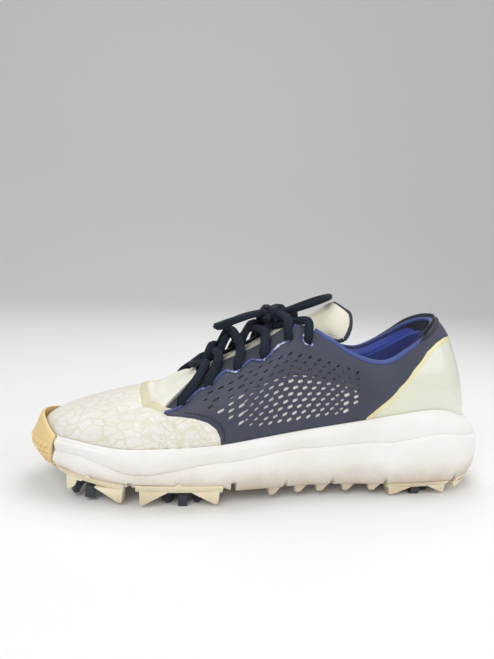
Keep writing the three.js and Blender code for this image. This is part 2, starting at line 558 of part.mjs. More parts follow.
const EYELETS = [9.36, 8.97, 8.37, 7.72, 7.15, 6.6];        // stations, from the toe up
const EYELET_V = [0.53, 0.69, 0.785, 0.8, 0.85, 0.85];
const eyeletAt = (k, side, d = 0) => skin(side < 0 ? EYELETS[k] : TURN - EYELETS[k], EYELET_V[k], d);
const eyeletAxis = (k, side) => eyeletAt(k, side, 1).sub(eyeletAt(k, side, 0)).normalize();
const eyeletHoles = SIDES.map((side) => EYELETS.map((_, k) =>
  rod(EYELET_R, UPPER_T + 4, eyeletAt(k, side, -UPPER_T - 2), eyeletAxis(k, side), 8)));
const pierced = (body, side) => cut(body, eyeletHoles[side < 0 ? 0 : 1]);

const collarPiping = (() => {
  const points = linspace(-COLLAR_S, COLLAR_S, 28).map((s) => {
    const edge = skin(s, 1, -UPPER_T / 2);
    const up = skin(s, 1, 0).sub(skin(s, 0.94, 0)).normalize();
    return edge.addScaledVector(up, PIPING_R + GAP + 0.2);
  });
  return tube(points, PIPING_R, 6, 30);
})();

// ---- toe cap -------------------------------------------------------------------------------------------
const CAP_GAP = 0.45;                       // between the cap and the curved sole behind it
const toeCap = (() => {
  const top = (s) => on(rimCurve, s).y + 8 * sz * (1 - ((s - HALF) / CAP_SPAN) ** 2);
  const rows = linspace(CAP_FROM + SEAM, CAP_TO - SEAM, 14);
  const levels = linspace(0, 1, 7);
  const outline = (depth) => rows.map((s) => levels.map((k) => {
    const low = underside(plan(s).x) - 0.6;
    const z = low + (top(s) - low) * k;
    const rimZ = on(rimCurve, s).y;
    const tuck = 3 * (1 - ramp(k, 0, 0.3)) + 0.4 * Math.max(z - rimZ + 6 * sz, 0);
    return plan(s, 0.2 - tuck - depth).setZ(z);
  }));
  const blank = between(outline(0), outline(11), false);
  const solePart = stack(soleRings(CAP_GAP, CAP_GAP, CAP_T));
  return cut(blank, [solePart, ply(() => -GAP, () => 14), podOuterClear()]);
})();
function podOuterClear() {
  return podOuter.intersect(underLine([[-130.6, 20], [-90, 20]], -20));
}

// ---- tongue ----------------------------------------------------------------------------------------------
const TONGUE_CLEAR = 1.5;                   // under the sleeve
const TONGUE_S = [10.75, 10.1, 9.4, 8.7, 8, 7.35];
const TONGUE_FREE = [                       // above the lacing: centre x, z and edge x, y, z
  [23, 108, 31, 13.5, 99],
  [32, 113.5, 44, 17, 101.5],
  [38.5, 117.5, 50.5, 14.5, 109],
  [42, 119.5, 51, 9, 115],
];
const tongueRows = (() => {
  const rows = TONGUE_S.map((s) => {
    const depth = -(UPPER_T + TONGUE_CLEAR);
    const reach = 14 + 12 * ramp(s, 10.8, 9);
    const lateral = [reach, reach / 2, 0.5].map((mm) => skin(s, vBelowTop(s, mm), depth));
    const medial = [0.5, reach / 2, reach].map((mm) => skin(TURN - s, vBelowTop(s, mm), depth));
    const crown = lateral[2].clone().add(medial[0]).multiplyScalar(0.5).add(new THREE.Vector3(-0.6, 0, 2.2));
    return [...lateral, crown, ...medial];
  });
  for (const [cx, cz, ex, ey, ez] of TONGUE_FREE) {
    const row = linspace(-1, 1, 6).map((u) => {
      const w = Math.abs(u) ** 1.8;
      return at(cx + (ex - cx) * w, ey * Math.sin(u * Math.PI / 2), cz + (ez - cz) * w);
    });
    rows.push(row);
  }
  return rows;
})();
function gridNormals(grid) {
  return grid.map((row, i) => row.map((p, j) => {
    const before = grid[Math.max(i - 1, 0)][j];
    const after = grid[Math.min(i + 1, grid.length - 1)][j];
    const left = row[Math.max(j - 1, 0)];
    const right = row[Math.min(j + 1, row.length - 1)];
    return after.clone().sub(before).cross(right.clone().sub(left)).normalize();
  }));
}
const tongueNormals = gridNormals(tongueRows);
const tongueGrid = (depth) => tongueRows.map((row, i) => row.map((p, j) =>
  p.clone().addScaledVector(tongueNormals[i][j], -depth)));
const tonguePly = (depth, thick) => between(tongueGrid(depth), tongueGrid(depth + thick), false);
const tongueFoamDepth = TONGUE_FACE_T + PLY_GAP;
const tongueBackDepth = tongueFoamDepth + TONGUE_FOAM_T + PLY_GAP;
const TONGUE_T = tongueBackDepth + TONGUE_BACK_T;
const tongueBinding = (() => {              // tube round the free edge, beside the stack of plies
  const mid = tongueGrid(TONGUE_T / 2);
  const last = mid.length - 1;
  const firstFree = TONGUE_S.length;
  const path = [];
  const start = (j) => mid[firstFree][j].clone().lerp(mid[firstFree + 1][j], 0.5);
  path.push(start(0));
  for (let i = firstFree + 1; i <= last; i++) path.push(mid[i][0]);
  for (let j = 1; j < 6; j++) path.push(mid[last][j]);
  for (let i = last; i > firstFree; i--) path.push(mid[i][6]);
  path.push(start(6));
  const centre = mid[last - 1][3].clone().add(new THREE.Vector3(-6, 0, -10));
  const outward = (p) => p.clone().sub(centre).normalize();
  const away = path.map((p) => p.clone().addScaledVector(outward(p), TONGUE_T / 2 + 2.4));
  return tube(away, TONGUE_T / 2 - 1, 6, 20);
})();

// ---- lace ------------------------------------------------------------------------------------------------
const OVER = LACE_R + GAP + 0.3;            // lace centre above what it lies on
const throatCentre = (s) => {
  const [a, b] = [skin(s, 1), skin(TURN - s, 1)];
  return a.add(b).multiplyScalar(0.5);
};
const KNOT = at(-1, 0, 108.5);
const UNDER_KNOT = KNOT.clone().add(new THREE.Vector3(1, 0, -3.5));
const BAR_S = 9.75;                         // station of the first bar's middle
const BAR_LOFT = 6;                         // how high the slack strands stand over the throat's edges
const RIM_LOFT = LACE_R + 1.7;              // lace centre above the throat's edge
const LOFTS = [9, 14, 11, 7];
const strandMiddle = (k) => {
  if (k >= LOFTS.length) return UNDER_KNOT.clone();
  return throatCentre((EYELETS[k] + EYELETS[k + 1]) / 2).add(new THREE.Vector3(0, 0, LOFTS[k]));
};
const barMiddle = throatCentre(BAR_S).add(new THREE.Vector3(0, 0, BAR_LOFT));
function downTo(k, side) {                  // over the throat's edge and into an eyelet from outside
  const s = side < 0 ? EYELETS[k] : TURN - EYELETS[k];
  const rim = skin(s, 1, 0.5).setZ(skin(s, 1).z + RIM_LOFT);
  const half = skin(s, (EYELET_V[k] + 1) / 2, OVER + 1);
  return [rim, half, eyeletAt(k, side, OVER - 0.2), eyeletAt(k, side, -2)];
}
function strand(k, from, radius) {          // out of the throat at eyelet k, over, and down eyelet k + 1
  const to = -from;
  const start = skin(from < 0 ? EYELETS[k] : TURN - EYELETS[k], 1, 0).multiply(new THREE.Vector3(1, 0.5, 1));
  start.z += LACE_R + 0.8;
  return tube([start, strandMiddle(k), ...downTo(k + 1, to)], radius, 6, 10);
}
const lacingOf = (radius) => join([
  tube([...downTo(0, -1).reverse(), barMiddle, ...downTo(0, 1)], radius, 6, 18),
  ...SIDES.flatMap((side) => EYELETS.slice(1).map((_, k) => strand(k, side, radius))),
  tube([barMiddle, ...LOFTS.map((_, k) => strandMiddle(k)), UNDER_KNOT], radius, 6, 10),
]);
const lacing = lacingOf(LACE_R);
const KNOT_R = [7, 6, 4.2];
const laceKnot = (() => {
  const geometry = new THREE.SphereGeometry(1, 10, 7);
  geometry.scale(...KNOT_R).translate(KNOT.x, KNOT.y, KNOT.z + 1.7);
  return solid(geometry).subtract(lacingOf(LACE_R + GAP));
})();

// the bow's two loops and the two free ends; their points are chosen by hand
const LOOP_FRONT = [[-8.8, -3, 111], [-16, -7, 109.8], [-25, -9.5, 106.6], [-32, -8, 102.8],
  [-36.5, 0, 100.6], [-32, 8, 101.4], [-25, 9.5, 104.2], [-16, 7, 108], [-8.8, 3, 110.4]];
const LOOP_BACK = [[7, -3, 112.2], [14, -7.5, 115.2], [24, -10, 119.2], [33, -8, 122.6], [37.5, 0, 123.3],
  [33, 8, 121], [24, 10, 117.2], [14, 7, 113.6], [7, 2.5, 111.6]];
const free = (points) => points.map((p) => at(...p));
const END_OVER = OVER + 0.5;
const endPath = (s0, drift, from) => [
  at(...from),
  ...[4, 13, 24, 35, 46].map((mm) => {
    const s = TURN - (s0 + drift * mm);
    return skin(s, vBelowTop(s, mm), END_OVER + 8 * (1 - ramp(mm, 3, 20)));
  }),
];
const AGLET_L = 18;
const AGLET_R = 1.5;
const endPaths = [endPath(7.43, 0.004, [-3, 6, 114.4]), endPath(6.87, -0.006, [3, 6, 114.6])];
const aglet = (path) => {
  const [last, before] = [path[path.length - 1], path[path.length - 2]];
  const axis = last.clone().sub(before).normalize();
  return rod(AGLET_R, AGLET_L, last.clone().addScaledVector(axis, GAP), axis, 8);
};

const COLORS = {
  foam: ['#e9e6e2', 0.75, 0], clear_rubber: ['#e2d19c', 0.45, 0], cap_rubber: ['#d9b874', 0.6, 0],
  plate: ['#2c3f86', 0.4, 0], hard_plastic: ['#3a3f45', 0.5, 0], cleat_rubber: ['#22272e', 0.6, 0],
  board: ['#cfc9bb', 0.9, 0], insole_cloth: ['#26366e', 0.95, 0], shell: ['#474a5c', 0.55, 0],
  vamp_hide: ['#e8e4da', 0.6, 0], band: ['#e6e0c0', 0.6, 0], heel_film: ['#dfe3cf', 0.3, 0],
  stiffener: ['#b9b2a3', 0.8, 0], eyestay: ['#3b3d49', 0.6, 0], knit: ['#e5e1d6', 0.95, 0],
  foam_pad: ['#c9c4b4', 0.95, 0], lining: ['#26398a', 0.95, 0], piping: ['#33489b', 0.8, 0],
  tongue_face: ['#e6e1d3', 0.8, 0], binding: ['#565a6c', 0.8, 0], lace: ['#141c28', 0.9, 0],
};
const shoe = new THREE.Group();
function add(name, body, finish) {
  const [color, roughness, metalness] = COLORS[finish];
  const material = new THREE.MeshStandardMaterial({ color, roughness, metalness });
  const mesh = new THREE.Mesh(toGeometry(body), material);
  mesh.name = name;
  shoe.add(mesh);
}
add('midsole', midsole, 'foam');
add('tread_pod_toe', toePod, 'clear_rubber');
add('tread_pod_ball', ballPod, 'clear_rubber');
add('tread_pod_heel', heelPod, 'clear_rubber');
add('tread_pod_heel_tip', heelTip, 'clear_rubber');
add('arch_plate', archPlate, 'plate');
for (const cleat of CLEATS) {
  add(`receptacle_${cleat.name}`, receptacle(cleat), 'hard_plastic');
  add(`cleat_insert_${cleat.name}`, cleatInsert(cleat), 'hard_plastic');
  add(`cleat_${cleat.name}`, cleatTread(cleat), 'cleat_rubber');
}
add('toe_cap', toeCap, 'cap_rubber');
add('strobel_board', strobelBoard, 'board');
add('insole', insole, 'insole_cloth');
add('vamp', vamp, 'vamp_hide');
add('throat_band', throatBand, 'band');
add('throat_pad', throatPad, 'tongue_face');
add('quarter_lateral', pierced(quarter(-1), -1), 'shell');
add('quarter_medial', pierced(quarter(1), 1), 'shell');
add('heel_panel', heelPanel, 'heel_film');
add('heel_counter', heelCounter, 'stiffener');
add('toe_puff', toePuff, 'stiffener');
add('eyestay_lateral', pierced(eyestay(-1), -1), 'eyestay');
add('eyestay_medial', pierced(eyestay(1), 1), 'eyestay');
add('inner_sleeve', sleeve, 'knit');
add('collar_foam', collarFoam, 'foam_pad');
add('collar_lining', collarLining, 'lining');
add('collar_piping', collarPiping, 'piping');
add('tongue_face', tonguePly(0, TONGUE_FACE_T), 'tongue_face');
add('tongue_foam', tonguePly(tongueFoamDepth, TONGUE_FOAM_T), 'foam_pad');
add('tongue_lining', tonguePly(tongueBackDepth, TONGUE_BACK_T), 'lining');
add('tongue_binding', tongueBinding, 'binding');
add('lace_lacing', lacing, 'lace');
add('lace_knot', laceKnot, 'lace');
add('lace_loop_front', tube(free(LOOP_FRONT), LACE_R, 8, 16), 'lace');
add('lace_loop_back', tube(free(LOOP_BACK), LACE_R, 8, 16), 'lace');
endPaths.forEach((path, k) => {
  add(`lace_end_${k + 1}`, tube(path, LACE_R, 8, 12), 'lace');
  add(`aglet_${k + 1}`, aglet(path), 'hard_plastic');
});

// the origin is the middle of the shoe's own box in plan, at the cleat tips; the free lace doesn't count
const FREE_LACE = /^(lace_loop|lace_end|aglet)/;
const extent = new THREE.Box3();
for (const mesh of shoe.children) if (!FREE_LACE.test(mesh.name)) extent.expandByObject(mesh);
const middle = extent.getCenter(new THREE.Vector3());
shoe.position.set(-middle.x, -middle.y, -extent.min.z);

export default shoe;
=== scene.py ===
# %% [markdown]
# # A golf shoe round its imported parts
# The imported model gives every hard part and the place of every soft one. This script keeps the hard
# parts, gives them finishes, and builds the soft ones again with the detail that real cloth, hide,
# foam and lace have. It works in metres, toe towards -X, lateral side towards -Y, +Z up.

# %% Load the frame
import math

import bmesh
import bpy
import numpy as np
from mathutils import Matrix, Vector
from mathutils.geometry import delaunay_2d_cdt


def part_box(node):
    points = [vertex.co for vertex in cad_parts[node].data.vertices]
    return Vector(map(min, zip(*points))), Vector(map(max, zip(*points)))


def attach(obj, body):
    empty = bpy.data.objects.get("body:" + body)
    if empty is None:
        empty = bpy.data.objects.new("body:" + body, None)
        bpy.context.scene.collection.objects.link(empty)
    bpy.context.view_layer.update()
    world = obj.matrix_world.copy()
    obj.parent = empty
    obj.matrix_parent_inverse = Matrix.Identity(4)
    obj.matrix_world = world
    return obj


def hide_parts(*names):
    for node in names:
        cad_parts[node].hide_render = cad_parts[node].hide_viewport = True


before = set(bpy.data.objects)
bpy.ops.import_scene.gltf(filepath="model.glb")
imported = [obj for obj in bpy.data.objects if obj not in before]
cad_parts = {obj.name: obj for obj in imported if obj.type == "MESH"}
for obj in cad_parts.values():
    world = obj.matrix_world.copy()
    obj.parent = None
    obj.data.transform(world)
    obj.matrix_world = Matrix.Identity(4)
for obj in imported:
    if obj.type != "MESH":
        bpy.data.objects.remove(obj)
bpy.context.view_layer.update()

# %% [markdown]
# ## The last
# A shoe is built round a last, a solid foot shape. Here the last is a smooth function: `s` goes round
# the shoe from the heel (0) along the lateral side to the toe (13) and back along the medial side, and
# `v` climbs from the sole's rim (0) to the top line (1). Every piece of the upper is cut from it, so
# neighbouring pieces fit without any measuring between them.

# %% Stations of the last
# x, lateral and medial half widths, inset, rim height, top x, |y|, z, rise, out, down; millimetres
STATIONS = [
    (150, 0, 0, 12, 46, 114, 0, 111, 27, 10, 2),
    (144, 20.5, 20.5, 11, 47, 110, 11, 109.5, 25, 9, 3),
    (128, 33.5, 33, 9, 50.5, 101, 20, 103.5, 22, 8, 5),
    (107, 38.5, 38, 7.5, 55.5, 87, 26, 93, 13, 6, 7),
    (80, 39.5, 38, 6, 53, 69, 29, 84, 12, 5, 8),
    (48, 38.5, 35.5, 5, 47.5, 49, 27.5, 88, 16, 7, 12),
    (18, 40, 35.5, 5, 43, 31, 23, 98.5, 22, 9, 16),
    (-8, 44.5, 38.5, 5, 39.8, 11, 16, 106.5, 24, 14, 16),
    (-36, 49.3, 45.8, 5, 36.6, -13, 14, 91.5, 19, 16, 12),
    (-64, 50.3, 51, 5, 35, -36, 14, 80, 16, 17, 9),
    (-94, 46.5, 49.5, 4.5, 33.6, -56, 14, 66.5, 14, 18, 6),
    (-122, 36, 40.5, 5, 35, -70, 14, 58.5, 11.5, 24, 7),
    (-142.5, 21.5, 24.5, 6.4, 35, -76, 8.5, 61.5, 11, 30, 10),
    (-152, -2, 2, 7, 35, -78, 0, 63, 11, 32, 12),
]
HALF = len(STATIONS) - 1
TURN = 2 * HALF
CUP_LAP = 7.0
EPS = 0.01


def closed_curve(points):
    """Smooth closed curve through the points, one step of s to each."""
    P = np.asarray(points, float)
    n = len(P)

    def at(s):
        s = np.asarray(s, float) % n
        i = np.floor(s).astype(int) % n
        t = (s - np.floor(s))[..., None]
        a, b, c, d = P[(i - 1) % n], P[i], P[(i + 1) % n], P[(i + 2) % n]
        start, end = (c - a) / 2, (d - b) / 2
        return ((2 * t**3 - 3 * t**2 + 1) * b + (t**3 - 2 * t**2 + t) * start
                + (3 * t**2 - 2 * t**3) * c + (t**3 - t**2) * end)

    return at


rows = [(STATIONS[i if i <= HALF else TURN - i], -1 if i <= HALF else 1) for i in range(TURN)]
plan_curve = closed_curve([(r[0], -r[1] if side < 0 else r[2]) for r, side in rows])
top_curve = closed_curve([(r[5], side * r[6], r[7]) for r, side in rows])
rim_curve = closed_curve([(r[3], r[4], r[8]) for r, _ in rows])
handle_curve = closed_curve([(r[9], r[10]) for r, _ in rows])


def plan_normal(s):
    ahead = plan_curve(s + EPS) - plan_curve(s - EPS)
    normal = np.stack([-ahead[..., 1], ahead[..., 0]], -1)
    return normal / np.linalg.norm(normal, axis=-1, keepdims=True)


def plan(s, out=0.0):
    return plan_curve(s) + plan_normal(s) * np.asarray(out, float)[..., None]


def surface(s, v):
    """Point of the last's skin, in millimetres."""
    s, v = np.broadcast_arrays(np.asarray(s, float), np.asarray(v, float))
    rim, handle, top = rim_curve(s), handle_curve(s), top_curve(s)
    normal = np.concatenate([plan_normal(s), np.zeros(s.shape + (1,))], -1)
    foot = np.concatenate([plan(s, -rim[..., 0]), rim[..., 1:2]], -1)
    up = np.zeros(foot.shape)
    up[..., 2] = 1
    h1 = foot + up * rim[..., 2:3]
    h2 = top + normal * handle[..., 0:1] - up * handle[..., 1:2]
    t = np.clip(v, 0, None)[..., None]
    u = 1 - t
    bezier = u**3 * foot + 3 * u**2 * t * h1 + 3 * u * t**2 * h2 + t**3 * top
    below = np.minimum(v, 0)[..., None]
    return bezier + below * (up * CUP_LAP + normal * 0.6)


def skin_normal(s, v):
    w = np.clip(v, EPS, 1 - EPS)
    ds = surface(s + EPS, w) - surface(s - EPS, w)
    dv = surface(s, w + EPS) - surface(s, w - EPS)
    n = np.cross(dv, ds)
    return n / np.linalg.norm(n, axis=-1, keepdims=True)


def skin(s, v, d=0.0):
    """Point at height d above the last's skin."""
    s, v, d = np.broadcast_arrays(np.asarray(s, float), np.asarray(v, float), np.asarray(d, float))
    return surface(s, v) + skin_normal(s, v) * d[..., None]


def side_length(s):
    low, mid, top = surface(s, 0.0), surface(s, 0.5), surface(s, 1.0)
    return np.linalg.norm(low - mid, axis=-1) + np.linalg.norm(mid - top, axis=-1)


def v_below_top(s, mm):
    return 1 - np.asarray(mm, float) / side_length(np.asarray(s, float))


def ramp(x, a, b):
    k = np.clip((np.asarray(x, float) - a) / (b - a), 0, 1)
    return k * k * (3 - 2 * k)


def from_heel(s):
    u = np.asarray(s, float) % TURN
    return np.minimum(u, TURN - u)


def table(*pairs):
    """Height along the shoe: smooth steps between (x, z) pairs."""
    X, Z = np.array(pairs, float).T

    def at(x):
        i = np.clip(np.searchsorted(X, x) - 1, 0, len(X) - 2)
        return Z[i] + (Z[i + 1] - Z[i]) * ramp((x - X[i]) / (X[i + 1] - X[i]), 0, 1)

    return at


underside = table((-152, 21), (-133, 16.8), (-114, 12.8), (-88, 10.4), (-33, 10), (-25, 7.2), (6, 6.6),
                  (74, 6.4), (118, 6.8), (151, 11))
crease = table((-152, 28), (-122, 26.5), (-84, 18.5), (-34, 26), (20, 31.5), (70, 34.6), (110, 40),
               (152, 35.5))
footbed = table((-152, 25), (-113, 24.8), (-86, 23.8), (-58, 25), (-8, 29.3), (48, 35), (80, 36.5),
                (152, 36.5))

# The last is drawn about its own origin; one flat part of the frame tells how far the frame was moved.
PLATE_MIDDLE, PLATE_THICKNESS, PLATE_GAP = 25.0, 1.4, 0.3
plate_low, plate_high = [np.array(corner) * 1000 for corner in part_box("arch_plate")]
SHIFT = (plate_low + plate_high) / 2 - (PLATE_MIDDLE, 0, 0)
SHIFT[2] = plate_low[2] - (underside(70.0) - PLATE_GAP - PLATE_THICKNESS)


def placed(points):
    """Millimetres about the last's origin to metres in the frame."""
    return (np.asarray(points, float) + SHIFT) / 1000


print("the last is moved by", np.round(SHIFT, 3), "mm")
last_points = placed(surface(np.arange(0, TURN, 0.5)[:, None], np.array([0, 0.5, 1.0]))).reshape(-1, 3)
print("it reaches from", np.round(last_points.min(0), 4), "to", np.round(last_points.max(0), 4))

# %% [markdown]
# ## Camera
# The camera stands low on the lateral side, a little ahead of the middle, rolled by a few degrees.

# %% Place the camera
AZIMUTH, ELEVATION, ROLL = math.radians(-8.4), math.radians(8), math.radians(3)
back = Vector((math.sin(AZIMUTH) * math.cos(ELEVATION), -math.cos(AZIMUTH) * math.cos(ELEVATION),
               math.sin(ELEVATION)))
level = Vector((math.cos(AZIMUTH), math.sin(AZIMUTH), 0))
rise = back.cross(level)
right = level * math.cos(ROLL) + rise * math.sin(ROLL)
upward = rise * math.cos(ROLL) - level * math.sin(ROLL)
camera = bpy.data.objects.new("camera", bpy.data.cameras.new("camera"))
bpy.context.scene.collection.objects.link(camera)
camera.data.lens, camera.data.sensor_width = 27.31, 36
place = Matrix((right, upward, back)).transposed().to_4x4()
place.translation = Vector(placed((-64.45, -325.3, 145.6)))
camera.matrix_world = place
bpy.context.scene.camera = camera
bpy.context.scene.view_settings.view_transform = "Standard"
print("camera at", [round(c, 3) for c in camera.matrix_world.translation])

# %% [markdown]
# ## Making meshes
# Three makers do nearly all the work. `shell` closes two equal grids of points into a skin with
# thickness. `patch` cuts a piece with any outline and holes out of the last, as a knife cuts hide.
# `strip` sweeps a section along a path, for laces, piping and bindings.

# %% Mesh makers
BODY_SHOE, BODY_TONGUE = "shoe", "tongue"
SMOOTH_BELOW = math.radians(38)


def make(name, points, faces, finish=None, body=BODY_SHOE, smooth=SMOOTH_BELOW):
    """A mesh object from points in the last's millimetres, riding on a body."""
    mesh = bpy.data.meshes.new(name)
    mesh.from_pydata(placed(points).tolist(), [], [list(f) for f in faces])
    mesh.validate()
    piece = bpy.data.objects.new(name, mesh)
    bpy.context.scene.collection.objects.link(piece)
    face_out(mesh)
    mesh.shade_smooth()
    mesh.set_sharp_from_angle(angle=smooth)
    if finish is not None:
        mesh.materials.append(finish)
    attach(piece, body)
    return piece


def face_out(mesh):
    """Turns a closed mesh's faces outwards."""
    bm = bmesh.new()
    bm.from_mesh(mesh)
    bmesh.ops.recalc_face_normals(bm, faces=bm.faces)
    bm.to_mesh(mesh)
    bm.free()


def shell_faces(rows, cols, closed):
    """Faces of two stacked grids with their edges joined."""
    total = rows * cols
    o = lambda i, j: (i % rows) * cols + j
    n = lambda i, j: total + o(i, j)
    spans = rows if closed else rows - 1
    faces = []
    for i in range(spans):
        for j in range(cols - 1):
            faces.append((o(i, j), o(i, j + 1), o(i + 1, j + 1), o(i + 1, j)))
            faces.append((n(i, j), n(i + 1, j), n(i + 1, j + 1), n(i, j + 1)))
        faces.append((o(i, 0), o(i + 1, 0), n(i + 1, 0), n(i, 0)))
        faces.append((o(i, cols - 1), n(i, cols - 1), n(i + 1, cols - 1), o(i + 1, cols - 1)))
    if not closed:
        for j in range(cols - 1):
            faces.append((o(0, j), n(0, j), n(0, j + 1), o(0, j + 1)))
            faces.append((o(rows - 1, j), o(rows - 1, j + 1), n(rows - 1, j + 1), n(rows - 1, j)))
    return faces


def shell(name, outer, inner, finish, body=BODY_SHOE, closed=False):
    rows, cols = outer.shape[:2]
    points = np.concatenate([outer.reshape(-1, 3), inner.reshape(-1, 3)])
    return make(name, points, shell_faces(rows, cols, closed), finish, body)


MM_SV = np.array([26.0, 62.0])      # about how long one step of s and the whole of v are


def inside(points, loop):
    """Which flat points lie inside a closed loop."""
    x, y = points[:, 0], points[:, 1]
    result = np.zeros(len(points), bool)
    for (x0, y0), (x1, y1) in zip(loop, np.roll(loop, -1, 0)):
        crosses = (y0 > y) != (y1 > y)
        if y1 != y0:
            result ^= crosses & (x < (x1 - x0) * (y - y0) / (y1 - y0) + x0)
    return result


def area_of(loop):
    x, y = loop.T
    return 0.5 * np.sum(x * np.roll(y, -1) - np.roll(x, -1) * y)


def offset_loop(loop, distance):
    """The loop moved inwards by a small distance."""
    if area_of(loop) < 0:
        distance = -distance
    ahead = np.roll(loop, -1, 0) - np.roll(loop, 1, 0)
    ahead = ahead / (np.linalg.norm(ahead, axis=1, keepdims=True) + 1e-9)
    return loop + np.stack([-ahead[:, 1], ahead[:, 0]], -1) * distance


def resample(loop, step, closed=True):
    """Even points along a line, a step apart, with its corners kept near enough."""
    loop = np.asarray(loop, float)
    if closed:
        loop = np.concatenate([loop, loop[:1]])
    length = np.concatenate([[0], np.cumsum(np.linalg.norm(np.diff(loop, axis=0), axis=1))])
    count = max(int(round(length[-1] / step)), 3)
    at = np.linspace(0, length[-1], count + 1)
    even = np.stack([np.interp(at, length, loop[:, k]) for k in range(loop.shape[1])], -1)
    return even[:-1] if closed else even


EDGE_ROLL, EDGE_DROP = 0.9, 0.45    # width and depth of a cut edge's rounding
EDGE_STEP, HOLE_CLEAR = 1.8, 0.7    # step along an outline; how far grid points keep from a hole


def patch(name, outline, finish, holes=(), lift=lambda s, v: 0.0, thick=1.4, spacing=2.6, body=BODY_SHOE,
          rolled=True):
    """A piece cut from the last: outline and holes are loops of (s, v)."""
    outer_loop = resample(np.asarray(outline, float) * MM_SV, min(spacing, EDGE_STEP))
    hole_loops = [np.asarray(h, float) * MM_SV for h in holes]
    low, high = outer_loop.min(0), outer_loop.max(0)
    xs = np.arange(low[0], high[0], spacing)
    ys = np.arange(low[1], high[1], spacing * 0.87)         # nearly even triangles
    grid = np.array([(x + (k % 2) * spacing / 2, y) for k, y in enumerate(ys) for x in xs])
    keep = inside(grid, offset_loop(outer_loop, EDGE_ROLL * 1.5))
    for h in hole_loops:
        keep &= ~inside(grid, offset_loop(h, -HOLE_CLEAR))
    points, edges = [], []
    for loop in [outer_loop] + hole_loops:
        base = len(points)
        points += loop.tolist()
        edges += [(base + i, base + (i + 1) % len(loop)) for i in range(len(loop))]
    if rolled:
        points += offset_loop(outer_loop, EDGE_ROLL).tolist()
    points += grid[keep].tolist()
    flat, _, faces, origin, _, _ = delaunay_2d_cdt([Vector(p) for p in points], edges, [], 0, 1e-5)
    flat = np.array([tuple(p) for p in flat])
    faces = np.array([f for f in faces if len(f) == 3])
    middle = flat[faces].mean(1)
    used = inside(middle, outer_loop)
    for h in hole_loops:
        used &= ~inside(middle, h)
    faces = faces[used]
    on_edge = np.array([any(i < len(outer_loop) for i in o) for o in origin])
    index = np.unique(faces)
    renumber = -np.ones(len(flat), int)
    renumber[index] = np.arange(len(index))
    faces, flat, on_edge = renumber[faces], flat[index], on_edge[index]
    s, v = (flat / MM_SV).T
    height = lift(s, v) + np.zeros(len(s))
    dropped = height - np.where(on_edge & rolled, EDGE_DROP, 0)
    outer, inner = skin(s, v, dropped), skin(s, v, height - thick)
    count = len(flat)
    seen = dict.fromkeys((f[i], f[(i + 1) % 3]) for f in faces for i in range(3))
    walls = [(b, a, a + count, b + count) for a, b in seen if (b, a) not in seen]
    all_faces = [tuple(f) for f in faces] + [tuple(f[::-1] + count) for f in faces] + walls
    return make(name, np.concatenate([outer, inner]), all_faces, finish, body)


def smooth_path(points, step=0.8):
    """Even points on a smooth open curve through the given ones."""
    P = np.asarray(points, float)
    P = np.concatenate([[2 * P[0] - P[1]], P, [2 * P[-1] - P[-2]]])
    fine = []
    for i in range(1, len(P) - 2):
        a, b, c, d = P[i - 1: i + 3]
        ta, tb, tc = [max(np.linalg.norm(q - p), 1e-6) ** 0.5 for p, q in ((a, b), (b, c), (c, d))]
        start = ((b - a) / ta - (c - a) / (ta + tb) + (c - b) / tb) * tb
        end = ((c - b) / tb - (d - b) / (tb + tc) + (d - c) / tc) * tb
        for t in np.linspace(0, 1, 24, endpoint=False):
            fine.append((2 * t**3 - 3 * t**2 + 1) * b + (t**3 - 2 * t**2 + t) * start
                        + (3 * t**2 - 2 * t**3) * c + (t**3 - t**2) * end)
    fine.append(P[-2])
    return resample(fine, step, closed=False)


STEEP = 0.35                        # below this the path runs too nearly along up to be steered by it
FULLNESS = 0.8                      # 1 is a true oval, less has fuller corners


